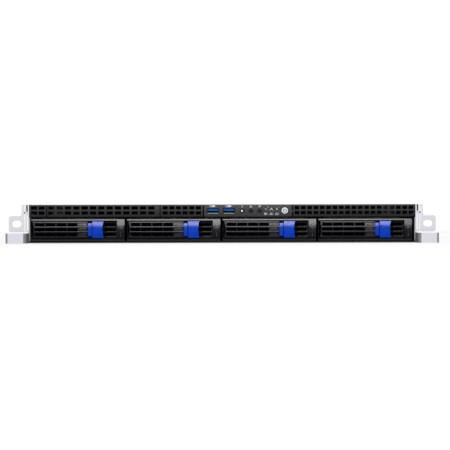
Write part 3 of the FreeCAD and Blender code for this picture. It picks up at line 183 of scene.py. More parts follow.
class Finish(Tree):
    """One procedural material: its Principled shader and the patterns that feed it."""

    def __init__(self, name, roughness=0.5, metallic=0.0, specular=0.5, coat=0.0, coat_rough=0.1,
                 shade=None):
        """shade is a function from X, Y and Z, in millimetres, to the mask of painted shade."""
        self.material = bpy.data.materials.new(name)
        self.material.use_nodes = True
        super().__init__(self.material.node_tree)
        self.shader = self.node("ShaderNodeBsdfPrincipled", inputs={
            "Roughness": roughness, "Metallic": metallic, "Specular IOR Level": specular,
            "Coat Weight": coat, "Coat Roughness": coat_rough})
        self.output = self.node("ShaderNodeOutputMaterial",
                                inputs={"Surface": self.shader.outputs[0]})
        coords = self.node("ShaderNodeTexCoord")
        self.point = self.node("ShaderNodeVectorMath", {"operation": "SCALE"},
                               {0: coords.outputs["Object"], "Scale": 1 / MM}).outputs[0]
        if shade:
            self.blackout(shade(*self.axes()))

    def axes(self):
        """X, Y and Z of the point on the object, in millimetres."""
        parts = self.node("ShaderNodeSeparateXYZ", inputs={0: self.point})
        return [Value(self, out) for out in parts.outputs]

    def noise(self, per_mm, detail=2.0, rough=0.5, stretch=(1.0, 1.0, 1.0)):
        """Soft noise from 0 to 1 with so many waves per millimetre."""
        point = self.node("ShaderNodeVectorMath", {"operation": "MULTIPLY"},
                          {0: self.point, 1: stretch}).outputs[0]
        return self.value("ShaderNodeTexNoise", "Fac", inputs={
            "Vector": point, "Scale": per_mm, "Detail": detail, "Roughness": rough})

    def cells(self, per_mm, output="Distance"):
        """Cell pattern: the distance to the nearest seed, or a grey level for each cell."""
        node = self.node("ShaderNodeTexVoronoi", inputs={"Vector": self.point, "Scale": per_mm})
        if output == "Color":
            return self.value("ShaderNodeSeparateColor", inputs={0: node.outputs["Color"]})
        return Value(self, node.outputs[output])

    def mix(self, mask, first, second):
        """Colour that goes from the first to the second as the mask goes from 0 to 1."""
        node = self.node("ShaderNodeMix", {"data_type": "RGBA"}, {0: mask, 6: first, 7: second})
        return node.outputs[2]

    def tones(self, mask, colour, first, second):
        """Shades of one colour, from the first factor to the second as the mask rises."""
        return self.mix(mask, *(tuple(min(1.0, channel * factor) for channel in colour)
                                for factor in (first, second)))

    def blackout(self, mask):
        """Painted shade: a second shader, black and giving no light back, where the mask is 1."""
        shade_black = self.node("ShaderNodeBsdfPrincipled", inputs={
            "Base Color": (0.0015, 0.0015, 0.0017), "Roughness": 1.0, "Specular IOR Level": 0.0})
        blend = self.node("ShaderNodeMixShader", inputs={
            0: mask, 1: self.shader.outputs[0], 2: shade_black.outputs[0]})
        self.tree.links.new(blend.outputs[0], self.output.inputs["Surface"])

    def set(self, relief=None, **links):
        """Links or sets the shader's inputs; the relief is a height in millimetres."""
        names = {"color": "Base Color", "rough": "Roughness", "metal": "Metallic",
                 "glow": "Emission Color", "glow_strength": "Emission Strength",
                 "normal": "Normal"}
        if relief:
            links["normal"] = self.node("ShaderNodeBump", inputs={
                "Distance": MM, "Height": relief}).outputs[0]
        for key, value in links.items():
            self.put(self.shader.inputs[names[key]], value)
        return self.material


# ---- finishes -------------------------------------------------------------------------------
def moulded(name, colour, rough=0.42, specular=0.35, grain=0.02, swell=None, shade=None,
            highlight_bands=()):
    """Moulded plastic: spark-eroded grain, slow shifts of gloss, an optional swell.

    The relief is noise at a third of a millimetre; swell is a function from X, Y and Z to a
    height in millimetres that is added to it. Each of the highlight bands is painted highlight:
    the heights between which an edge turns lighter, and the colour it turns to.
    """
    finish = Finish(name, specular=specular, shade=shade)
    fine = finish.noise(2.6, 3, 0.6)
    slow = finish.noise(0.03, 2)
    relief = fine * grain
    if swell:
        relief = relief + swell(*finish.axes())
    tone = finish.tones(fine * 0.5 + slow * 0.5, colour, 0.82, 1.22)
    # Painted highlight: each band turns an edge lighter ahead of the face, broken by the fine
    # noise.
    for start, full, highlight_colour in highlight_bands:
        _, y, z = finish.axes()
        edge = z.ramp(start, full) * (y < -5.0) * (fine * 0.5 + 0.6).low(1.0)
        tone = finish.mix(edge, tone, highlight_colour)
    return finish.set(color=tone, rough=fine * 0.14 + slow * 0.08 + (rough - 0.11), relief=relief)


def coated(name, colour, rough=0.42, specular=0.4, shade=None):
    """Powder coat: orange peel at a millimetre over fine speckle, duller in patches."""
    finish = Finish(name, specular=specular, shade=shade)
    peel = finish.noise(0.9, 2)
    speckle = finish.cells(2.2)
    slow = finish.noise(0.012, 3)
    relief = peel * 0.035 + speckle * 0.02
    tone = finish.tones(speckle, colour, 1.2, 0.8)
    return finish.set(color=tone, rough=peel * 0.12 + slow * 0.12 + (rough - 0.12), relief=relief)


def glossy(name, colour, rough=0.2, coat=0.3, specular=0.45, shade=None):
    """Polished ABS: faint flow marks and pin-prick dust under a clear skin."""
    finish = Finish(name, specular=specular, coat=coat, coat_rough=0.08, shade=shade)
    flow = finish.noise(0.25, 2, stretch=(1.0, 1.0, 0.4))
    fine = finish.noise(3.0, 2)
    tone = finish.tones(flow, colour, 0.88, 1.1)
    return finish.set(color=tone, rough=fine * 0.1 + (rough - 0.05),
                      relief=fine * 0.006 + flow * 0.02)


def rolled(name, colour, along=1, rough=0.5, shade=None):
    """Zinc-plated sheet: drawn-out rolling lines along one axis over faint zinc flowers.

    The tint dulls the sheen where the surface is seen edge-on, as the grey oxide does.
    """
    finish = Finish(name, metallic=1.0, shade=shade)
    finish.shader.inputs["Specular Tint"].default_value = (0.3, 0.3, 0.31, 1.0)
    stretch = [1.0, 1.0, 1.0]
    stretch[along] = 0.012
    lines = finish.noise(1.6, 4, 0.65, stretch)
    flower = finish.cells(0.11, output="Color")
    smear = finish.noise(0.006, 4, 0.6)
    tone = finish.tones(flower * 0.35 + smear * 0.65, colour, 0.86, 1.1)
    return finish.set(color=tone,
                      rough=lines * 0.12 + flower * 0.06 + smear * 0.1 + (rough - 0.14),
                      relief=lines * 0.012 + flower * 0.004)


def perforated(name, colour, area):
    """Rolled sheet with round vents on a triangular grid, where area is 1.

    Two square grids, one shifted by half a cell both ways, make the triangle pattern; a vent is
    painted shade, black with no light back, where the nearer grid point is less than a radius
    away.
    """
    pitch, radius = 3.1, 1.05
    finish = Finish(name, metallic=1.0)
    x, y, z = finish.axes()
    reach = []
    for shift in (0.0, 0.5):
        dx, dz = (((axis / cell + shift).fract() - 0.5) * cell
                  for axis, cell in ((x, pitch), (z, pitch * 1.732)))
        reach.append((dx * dx + dz * dz).root())
    nearest = reach[0].low(reach[1])
    inside = area(x, y, z)
    # Painted shade in each vent: black that gives no light back, with no hole cut.
    finish.blackout((nearest < radius) * inside)
    lines = finish.noise(1.6, 4, 0.65, (0.012, 1.0, 1.0))
    cloud = finish.noise(0.05, 3)
    tone = finish.tones(cloud, colour, 0.85, 1.1)
    rim = nearest.ramp(radius, radius + 0.35) * inside
    return finish.set(color=tone, rough=lines * 0.14 + cloud * 0.1 + 0.34,
                      relief=rim * 0.2 + lines * 0.012)


def cast(name, colour, rough=0.42, shade=None):
    """Die-cast aluminium: fine pits, cold-flow clouds and bright scuffed spots."""
    finish = Finish(name, metallic=1.0, shade=shade)
    cloud = finish.noise(0.04, 4, 0.6)
    pits = finish.cells(1.1)
    fine = finish.noise(4.0, 2)
    tone = finish.tones(cloud, colour, 0.8, 1.1)
    return finish.set(color=tone, rough=cloud * 0.16 + fine * 0.1 + (rough - 0.13),
                      relief=pits.ramp(0.0, 0.35) * 0.03 + fine * 0.01)


def silver_coat(name, colour, painted_shade, painted_highlight):
    """Silver paint over steel: metal flakes of a fifth of a millimetre in a grey binder.

    painted_shade and painted_highlight are functions from X, Y and Z to the shares of
    dark grey painted shade and of light silver painted highlight.
    """
    finish = Finish(name, specular=0.0)
    flake = finish.cells(4.5, output="Color")
    peel = finish.noise(0.7, 2)
    tone = finish.tones(flake, colour, 0.93, 1.05)
    # Painted highlight: the ears' beads turn light silver.
    tone = finish.mix(painted_highlight(*finish.axes()), tone, (0.93, 0.93, 0.94))
    # Painted shade: the handle's legs and lip turn dark grey.
    tone = finish.mix(painted_shade(*finish.axes()), tone, srgb(48, 48, 52))
    return finish.set(color=tone, metal=flake * 0.25, rough=flake * 0.15 + 0.4,
                      relief=peel * 0.03 + flake * 0.004)


def bright_wire(name, colour, rough=0.16, shade=None):
    """Drawn bright steel: hairlines across a mirror and a few dull patches."""
    finish = Finish(name, metallic=1.0, shade=shade)
    hair = finish.noise(2.5, 3, 0.6, (1.0, 0.05, 0.05))
    dull = finish.noise(0.08, 3)
    tone = finish.tones(dull, colour, 0.85, 1.1)
    return finish.set(color=tone, rough=hair * 0.12 + dull * 0.1 + (rough - 0.08),
                      relief=hair * 0.006)


def solder_mask(name, colour):
    """Circuit board: copper runs under the mask on a 1.27 mm pitch, switched cell by cell,
    and tinned dots where the runs end."""
    finish = Finish(name, coat=0.2, coat_rough=0.15)
    x, y, _ = finish.axes()
    pitch = 1.27
    cell = finish.cells(0.06, output="Color")
    across, along = (abs((axis / pitch).fract() - 0.5) < 0.2 for axis in (x, y))
    pick = cell > 0.5
    run = (across * pick + along * (1 - pick)) * (finish.cells(0.045, output="Color") > 0.25)
    dx, dy = ((axis / (3 * pitch)).fract() - 0.5 for axis in (x, y))
    dot = ((dx * dx + dy * dy).root() < 0.13) * (cell > 0.3)
    fibre = finish.noise(1.3, 2)
    mask = finish.tones(run * 0.8 + fibre * 0.2, colour, 1.0, 2.1)
    return finish.set(color=finish.mix(dot, mask, (0.62, 0.6, 0.55)), metal=dot,
                      rough=0.42 - run * 0.12 + fibre * 0.08,
                      relief=run * 0.035 + dot * 0.05 + fibre * 0.01)


def lamp_lens(name, colour, strength):
    """Lit light pipe: glows most in the middle of its cells, cloudy towards the edges."""
    finish = Finish(name)
    cloud = finish.noise(1.4, 2)
    return finish.set(color=finish.tones(cloud, colour, 0.5, 0.9), rough=cloud * 0.2 + 0.12,
                      glow=finish.tones(cloud, colour, 0.75, 1.0), glow_strength=strength)


def printed(name, colour):
    """Screen-printed ink: slightly uneven cover and a dry matt surface."""
    finish = Finish(name, specular=0.3)
    cover = finish.noise(5.0, 3)
    return finish.set(color=finish.tones(cover, colour, 0.88, 1.0), rough=cover * 0.15 + 0.5,
                      relief=cover * 0.006)


def gilded(name):
    """Gold-flashed contact springs: wiped streaks along the insertion direction."""
    finish = Finish(name, metallic=1.0)
    wipe = finish.noise(3.0, 3, 0.6, (1.0, 0.08, 1.0))
    return finish.set(color=finish.mix(wipe, (0.72, 0.5, 0.2), (0.92, 0.7, 0.34)),
                      rough=wipe * 0.2 + 0.18, relief=wipe * 0.01)


# ---- surfaces -------------------------------------------------------------------------------
def xyz(x, y, z):
    """Rows of X, Y and Z; a single number stands in every row."""
    return np.column_stack(np.broadcast_arrays(x, y, z))


def at_depth(outline, y):
    """Points in X and Z, set at a depth."""
    return xyz(outline[:, 0], y, outline[:, 1])


def grid(points, closed=False):
    """Quads of a grid of points (rows, columns, 3), whose rows are rings: the last column joins
    the first, and in a closed tube the last ring joins the first too."""
    rows, columns, _ = points.shape
    index = np.arange(rows * columns).reshape(rows, columns)
    if closed:
        index = np.vstack([index, index[:1]])
    index = np.hstack([index, index[:, :1]])
    quads = np.stack([index[:-1, :-1], index[1:, :-1], index[1:, 1:], index[:-1, 1:]], -1)
    return points.reshape(-1, 3), quads.reshape(-1, 4)


def capped(points):
    """A tube grid whose first and last rings shrink to a point each, so that it is closed."""
    first = np.repeat(points[:1].mean(1, keepdims=True), points.shape[1], 1)
    last = np.repeat(points[-1:].mean(1, keepdims=True), points.shape[1], 1)
    return grid(np.concatenate([first, points, last]))


def outline_slab(outline, y_front, y_back, edge=0.0):
    """Solid between two planes: an outline in X and Z, pulled in by edge at the front face.

    The rings run from the front's middle over the outline to the back's middle.
    """
    outline = np.asarray(outline, float)
    middle = outline.mean(0)
    inner = middle + (outline - middle) * (1 - edge)
    return capped(np.stack([
        at_depth(inner, y_front), at_depth(outline, y_front + (y_back - y_front) * 0.3),
        at_depth(outline, y_back)]))


def ribbon(path, width, y_front, y_back, closed=False):
    """Line of even width with a rectangular section, drawn along a path in X and Z.

    Each point moves half the width along the mean normal of its neighbours.
    """
    path = np.asarray(path, float)
    if closed:
        along = np.roll(path, -1, 0) - np.roll(path, 1, 0)
    else:
        along = np.gradient(path, axis=0)
    along = along / np.linalg.norm(along, axis=1, keepdims=True)
    side = np.column_stack([-along[:, 1], along[:, 0]]) * width / 2
    left, right = path + side, path - side
    ring = np.stack([at_depth(left, y_front), at_depth(right, y_front),
                     at_depth(right, y_back), at_depth(left, y_back)], 1)
    return grid(ring, closed=True) if closed else capped(ring)


def arc(cx, cz, radius, start, end, count=25):
    """Points on a circle from one angle to another, in degrees from +X towards +Z."""
    turn = np.radians(np.linspace(start, end, count))
    return np.column_stack([cx + radius * np.cos(turn), cz + radius * np.sin(turn)])


def rounded(x0, x1, z0, z1, radius, count=5):
    """Rectangle with four quarter circles as corners, in X and Z."""
    radius = min(radius, (x1 - x0) / 2 - 1e-4, (z1 - z0) / 2 - 1e-4)
    corners = ((x1 - radius, z1 - radius, 0), (x0 + radius, z1 - radius, 90),
               (x0 + radius, z0 + radius, 180), (x1 - radius, z0 + radius, 270))
    return np.concatenate([arc(cx, cz, radius, a, a + 90, count) for cx, cz, a in corners])


def swept(profile, base, count):
    """Rings of (radius, height) pairs swept round the Y axis through base."""
    profile = np.asarray(profile, float)
    turn = np.linspace(0, 2 * math.pi, count, endpoint=False)
    return np.stack([profile[:, :1] * np.cos(turn), np.repeat(profile[:, 1:], count, 1),
                     profile[:, :1] * np.sin(turn)], -1) + np.asarray(base, float)


def turned(profile, base, count):
    """Closed surface of revolution round the Y axis through base."""
    return capped(swept(profile, base, count))


def tube(path, radius, count):
    """Round bar along a smooth path in space, each ring square to the path."""
    path = np.asarray(path, float)
    along = np.gradient(path, axis=0)
    along /= np.linalg.norm(along, axis=1, keepdims=True)
    side = np.cross(along, (0.0, 0.0, 1.0) if abs(along[:, 2]).max() < 0.9 else (1.0, 0.0, 0.0))
    side /= np.linalg.norm(side, axis=1, keepdims=True)
    up = np.cross(side, along)
    turn = np.linspace(0, 2 * math.pi, count, endpoint=False)
    rings = (path[:, None] + radius * (np.cos(turn)[None, :, None] * side[:, None]
                                       + np.sin(turn)[None, :, None] * up[:, None]))
    return capped(rings)


@contextlib.contextmanager
def edited(mesh, reach):
    """The mesh opened for editing, with points nearer than reach, in metres, merged."""
    made = bmesh.new()
    made.from_mesh(mesh)
    bmesh.ops.remove_doubles(made, verts=made.verts, dist=reach)
    yield made
    made.to_mesh(mesh)
    made.free()


def build(name, parts, finish, body="chassis", smooth=40):
    """One object from several (points, faces) pairs in millimetres, riding on a body."""
    starts = np.cumsum([0] + [len(points) for points, _ in parts])
    mesh = bpy.data.meshes.new(name)
    mesh.from_pydata(
        np.concatenate([points for points, _ in parts]) * MM, [],
        np.concatenate([faces + start for (_, faces), start in zip(parts, starts)]).tolist())
    with edited(mesh, 1e-7) as made:
        bmesh.ops.recalc_face_normals(made, faces=made.faces)
    finished(name, mesh, finish, body, smooth)


def finished(name, mesh, finish, body, smooth):
    """Object for a mesh: smooth but for edges sharper than an angle; one finish, slot and body."""
    mesh.materials.clear()
    mesh.materials.append(FINISHES[finish])
    mesh.shade_smooth()
    mesh.set_sharp_from_angle(angle=math.radians(smooth))
    piece = bpy.data.objects.new(name, mesh)
    bpy.context.scene.collection.objects.link(piece)
    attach(piece, body)
    return piece


def softened(node, finish, width_mm):
    """A merged copy of a CAD node with its sharp edges rolled over, standing for the node."""
    source = NODES[node]
    mesh = source.data.copy()
    with edited(mesh, 2e-6) as made:
        bmesh.ops.dissolve_limit(made, angle_limit=math.radians(0.6), verts=made.verts,
                                 edges=made.edges, delimit={"NORMAL"})
    piece = finished(f"{node}_body", mesh, finish, source["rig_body"], 24)
    roll = piece.modifiers.new("Rolled edges", "BEVEL")
    roll.width = width_mm * MM
    roll.segments = 2
    roll.limit_method = "ANGLE"
    roll.angle_limit = math.radians(35)
    roll.use_clamp_overlap = True
    even = piece.modifiers.new("Even shading", "WEIGHTED_NORMAL")
    even.keep_sharp = True
    even.weight = 80
    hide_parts(node)


# ---- sizes and colours a user would change --------------------------------------------------
def colour_property(name, description, value):
    return bpy.props.FloatVectorProperty(name=name, description=description, subtype="COLOR",
                                         size=3, min=0.0, max=1.0, default=value)


def size_property(name, description, value, least=0.0):
    return bpy.props.FloatProperty(name=name, description=description, default=value,
                                   min=least, max=50.0)


def light_property(name, description, watts):
    return bpy.props.FloatProperty(name=name, description=description, default=watts,
                                   unit="POWER", min=0.0)


class RackServerColours(bpy.types.PropertyGroup):
    """Base colours of the finishes."""
    panel: colour_property("Control panel", "Plastic of the control panel", srgb(45, 44, 49))
    vents: colour_property("Vent panels", "Plastic of the upper vent panels", srgb(25, 25, 28))
    tray: colour_property("Trays", "Coat of the drive trays", srgb(18, 18, 22))
    lever: colour_property("Levers", "Plastic of the tray levers", srgb(19, 19, 23))
    latch: colour_property("Latches", "Plastic of the tray latches", srgb(0, 60, 186))
    silver: colour_property("Rack ears", "Silver coat of the rack ears", srgb(222, 221, 229))
    zinc: colour_property("Sheet steel", "Zinc-plated sheet of the case", (0.37, 0.375, 0.385))
    board: colour_property("Boards", "Solder mask of the circuit boards", (0.012, 0.075, 0.03))
    ink: colour_property("Printed signs", "Ink of the signs on the front", srgb(235, 236, 240))
    port: colour_property("Port blades", "Plastic blades in the front ports", srgb(2, 92, 176))
    supply_latch: colour_property("Supply latches", "Latches of the power supplies",
                                  srgb(30, 120, 78))


class RackServerSizes(bpy.types.PropertyGroup):
    """Sizes of the fine pieces, in millimetres."""
    panel_edge: size_property("Panel edge", "Rolled edge of the plastic panels", 0.22)
    tray_edge: size_property("Tray edge", "Rolled edge of the tray fronts", 0.25)
    lever_edge: size_property("Lever edge", "Rolled edge of the lever's bars", 0.3)
    sheet_edge: size_property("Sheet edge", "Rolled edge of bent sheet", 0.2)
    ink_depth: size_property("Ink depth", "How far printed signs stand proud", 0.02)
    rib_pitch: size_property("Rib pitch", "Pitch of the moulded grip ribs", 1.1, 0.3)


class RackServerStudio(bpy.types.PropertyGroup):
    """Camera and light."""
    distance: bpy.props.FloatProperty(name="Camera distance", unit="LENGTH", default=1.65,
                                      description="From the rack plane to the camera", min=0.3)
    lens: bpy.props.FloatProperty(name="Lens", unit="CAMERA", default=116.6, min=20.0,
                                  description="Focal length on a 36 mm sensor")
    roll: bpy.props.FloatProperty(name="Roll", subtype="ANGLE", default=math.radians(0.12),
                                  description="Turn of the camera about its own axis")
    key: light_property("Key light", "Wide softbox above the front", 27.0)
    top: light_property("Top light", "Softbox straight above", 5.0)
    back: light_property("Back light", "Softbox above the rear", 9.0)
    sky: bpy.props.FloatProperty(name="Room light", default=0.25, min=0.0, max=1.0,
                                 description="Even light from all round")


# ---- operators ------------------------------------------------------------------------------
class RACKSERVER_OT_stage(bpy.types.Operator):
    """Camera, lights, white surroundings and a pale floor that keeps a soft shadow"""
    bl_idname = "rackserver.stage"
    bl_label = "Studio"

    def softbox(self, name, power, size, place, depth):
        """Area light that faces the point at that depth on the Y axis."""
        light = bpy.data.lights.new(name, "AREA")
        light.shape = "RECTANGLE"
        light.size, light.size_y = size
        light.energy = power
        lamp = bpy.data.objects.new(name, light)
        lamp.location = place
        way = np.array([0, depth, 0]) - place
        flat = math.hypot(way[0], way[1])
        lamp.rotation_euler = (math.pi / 2 + math.atan2(way[2], flat), 0,
                               math.atan2(way[1], way[0]) - math.pi / 2)
        lamp.visible_camera = False
        bpy.context.scene.collection.objects.link(lamp)

    def surroundings(self, strength):
        """White to the eye, in gloss and through glass, and a plain even light on matt surfaces.

        In gloss the white fades to grey towards the camera's side, as in a darkened room.
        """
        world = bpy.data.worlds.new("Room")
        world.use_nodes = True
        room = Tree(world.node_tree)
        camera, glass, gloss, matt = room.rays("Camera", "Transmission", "Glossy", "Diffuse")
        coords = room.node("ShaderNodeTexCoord")
        y = room.value("ShaderNodeSeparateXYZ", "Y", inputs={0: coords.outputs["Generated"]})
        white = camera.high(glass).high(gloss * (y.ramp(-0.85, 0.0) * 0.94 + 0.06))
        shine = room.node("ShaderNodeBackground", inputs={
            "Color": (1, 1, 1), "Strength": white.high(matt * strength)})
        room.node("ShaderNodeOutputWorld", inputs={"Surface": shine.outputs[0]})
        bpy.context.scene.world = world

    def floor(self):
        """Large flat sheet just under the case: mostly white to the eye, and all white far off,
        shaded by its own shadow for the rest, and plain pale paint to every other ray."""
        finish = Finish("Pale floor", roughness=0.85, specular=0.2)
        grain = finish.noise(0.02, 2)
        camera, gloss, glass = finish.rays("Camera", "Glossy", "Transmission")
        x, y, _ = finish.axes()
        ahead = y.ramp(-10.0, 250.0)
        far = (x * x + y * y).root().ramp(1500.0, 3500.0)
        paint = finish.mix(gloss * (1 - ahead), (0.3, 0.3, 0.3), (0.06, 0.06, 0.06))
        finish.set(color=finish.mix(camera.high(grain * 0.08), paint, (0.92, 0.92, 0.92)))
        white = finish.node("ShaderNodeEmission", inputs={"Color": (1, 1, 1), "Strength": 1.0})
        mixed = finish.node("ShaderNodeMixShader", inputs={
            0: camera.high(glass).high(gloss * ahead) * (far * 0.18 + 0.82),
            1: finish.shader.outputs[0],
            2: white.outputs[0]})
        finish.tree.links.new(mixed.outputs[0], finish.output.inputs["Surface"])
        z, reach = CAD_BOX[0][2] - 0.0004, 40
        mesh = bpy.data.meshes.new("Floor")
        mesh.from_pydata([(-reach, -reach, z), (reach, -reach, z), (reach, reach, z),
                          (-reach, reach, z)], [], [(0, 1, 2, 3)])
        mesh.materials.append(finish.material)
        sheet = bpy.data.objects.new("Floor", mesh)
        bpy.context.scene.collection.objects.link(sheet)

    def execute(self, context):
        studio = context.scene.rack_server_studio
        camera = bpy.data.objects.new("Camera", bpy.data.cameras.new("Camera"))
        camera.data.lens = studio.lens
        camera.data.sensor_width = 36
        camera.data.clip_end = 200
        camera.location = (0.0031, -studio.distance, -0.0015)
        camera.rotation_euler = (math.pi / 2, studio.roll, 0)
        context.scene.collection.objects.link(camera)
        context.scene.camera = camera
        self.softbox("Key", studio.key, (0.95, 1.1), (0.0, -1.48, 0.84), 0.0)
        self.softbox("Top", studio.top, (2.2, 1.6), (0.0, 0.5, 2.0), 0.3)
        self.softbox("Back", studio.back, (1.5, 0.5), (0.0, 1.75, 0.75), 0.64)
        self.surroundings(studio.sky)
        self.floor()
        context.scene.view_settings.view_transform = "Standard"
        return {"FINISHED"}


class RACKSERVER_OT_frame_finishes(bpy.types.Operator):
    """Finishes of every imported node, chosen by what it is made of"""
    bl_idname = "rackserver.frame_finishes"
    bl_label = "Finishes"

    def execute(self, context):
        for finish, names in NODE_FINISHES.items():
            for name in names:
                mesh = NODES[name].data
                for place in range(len(mesh.materials)):
                    mesh.materials[place] = FINISHES[finish]
                if not mesh.materials:
                    mesh.materials.append(FINISHES[finish])
        return {"FINISHED"}


# ---- masks and swells -----------------------------------------------------------------------
# Each is a function from X, Y and Z, in millimetres, to a mask or to a height in millimetres.
VENT_PANELS = ["end_vent_panel", "left_vent_panel", "middle_vent_panel", "right_vent_panel"]
ROW_PITCH = 5.5    # of the levers' rows of slots and pockets
BOW_RADIUS = 46.0  # of the tray faces, about the latches' middle height
STACK_FOOT = 1.2   # of the lower stacked port at the rear, above the foot of all the ports
STACK_PITCH = 7.2  # from the lower to the upper stacked port


def across_row(x, stem):
    """X from the left edge of the nearest of four like nodes, which stand in a row."""
    start = box_mm(f"{stem}_1")[0][0]
    pitch = box_mm(f"{stem}_2")[0][0] - start
    return ((x - start) / pitch).fract() * pitch


def behind_bow(y, z, stem):
    """Depth behind the bowed face of a node, with the bow as a parabola: z^2 over 2 radii."""
    rise = z - middle_mm(stem)[2]
    return y - rise * rise / (2 * BOW_RADIUS) - box_mm(stem)[0][1]


def inside(value, start, end):
    """1 where a value lies between two numbers."""
    return (value > start) * (value < end)


def tray_hollows(x, y, z):
    """Painted shade inside each tray's front frame, behind its face, over the pitch of the trays.
    """
    web = inside(y, -1.0, 1.0)
    return (inside(across_row(x, "tray"), 0.6, 104.7) * y.ramp(-5.6, -4.6) * (y < 9.5)
            * inside(z, box_mm("tray_1")[0][2] + 0.9, 4.7) * (1 - web * 0.55))


def panel_swell(x, y, z):
    """The upper panels fall away by the square of the height from their middle."""
    low, high = box_mm("control_panel")
    rise = (z - (low[2] + high[2]) / 2) / ((high[2] - low[2]) / 2)
    return rise * rise * -0.3


def lever_bars(x, y, z):
    """Each bar between two rows of slots is rounded: it falls by the square of the height."""
    away = (((z - middle_mm("lever_1")[2]) / ROW_PITCH).fract() - 0.5) * ROW_PITCH
    return (away * away).low(1.2) * -0.15


def blank_vents(x, y, z):
    """Two bands of the expansion blank, over and under its pressed rib."""
    low, high = box_mm("expansion_blank")
    middle = (low[2] + high[2]) / 2
    bands = inside(abs(z - middle), 2.8, high[2] - middle - 1.6)
    return inside(x, low[0] + 12, high[0] - 12) * bands


def ear_tones(x, y, z):
    """Painted shade on the rack ears: the handle's legs and its lip turn dark grey."""
    leg = (abs(x) < 221.4) * (y < -3.2) * (z < -10.0)
    lip = (abs(x) > 238.6) * (z < -10.0)
    return (leg * 0.66).high(lip * 0.55)


def power_rim(x, y, z):
    """Rim of the power button, more than 3.75 mm from its middle, turned to black that gives no
    light back.
    """
    middle = middle_mm("power_button")
    dx, dz = x - middle[0], z - middle[2]
    return ((dx * dx + dz * dz).root() > 3.75) * 0.92


def ear_beads(x, y, z):
    """Painted highlight on the beads of the rack ears: a light silver."""
    return inside(abs(x), 221.5, 225.2) * (y < 0.5) * (z > -9.3) * 0.85


def supply_end(x, y, z):
    """Painted shade on the rear end of the supply cases, which shows only behind the face's slots.
    """
    return y > box_mm("psu_case_1")[1][1] - 0.4


def port_cavities(x, y, z):
    """Painted shade inside the rear ports, behind their rims, and in black throats of the stacked
    two.
    """
    low, high = box_mm("io_ports")
    boxes = ports()
    middle = (boxes["network_port_1"][1][0] + boxes["network_port_2"][0][0]) / 2
    rise = z - (low[2] + STACK_FOOT)
    lower, upper = [inside(rise, foot - 0.8, foot + 3.2) for foot in (0.0, STACK_PITCH)]
    throat = (abs(x - middle) < 6.3) * lower.high(upper)
    return ((y < high[1] - 0.4) * inside(z, low[2] + 0.8, high[2] - 1.0)).high(throat)


def panel_seams(x, y, z):
    """Painted shade on the side edges of the control panel, next to its neighbours."""
    low, high = box_mm("control_panel")
    return (x < low[0] + 0.6).high(x > high[0] - 0.6)


def lever_hollows(x, y, z):
    """Painted shade on the walls of the lever's slots, just behind its bowed face, and its upright
    bars.
    """
    rise = z - middle_mm("lever_1")[2]
    across = across_row(x, "lever")
    bar_pitch = 12.4
    bar = (((across - 14.5) / bar_pitch).fract() * bar_pitch < 1.1) * inside(across, 14.0, 41.0)
    row = (abs(((rise / ROW_PITCH).fract() - 0.5) * ROW_PITCH) > 0.85) * (abs(rise) < 7.45)
    slots = inside(across, 3.5, 51.4) * row * (bar * -0.35 + 0.95)
    return (behind_bow(y, z, "lever_1").ramp(0.3, 0.7).high(slots)
            * (y < box_mm("lever_1")[1][1] - 0.15))


def latch_step(x, y, z):
    """Painted shade at a latch's step from neck to pad: the pad's left side and the neck beside
    it.
    """
    return (inside(across_row(x, "latch"), 4.3, 5.9) * (behind_bow(y, z, "latch_1") > 0.95)
            * 0.75)


def vent_seams(x, y, z):
    """Painted shade on the side edges of the vent panels, next to their neighbours."""
    edges = [corner[0] for name in VENT_PANELS for corner in box_mm(name)]
    masks = [abs(x - edge) < 0.4 for edge in edges]
    return functools.reduce(Value.high, masks) * 0.85


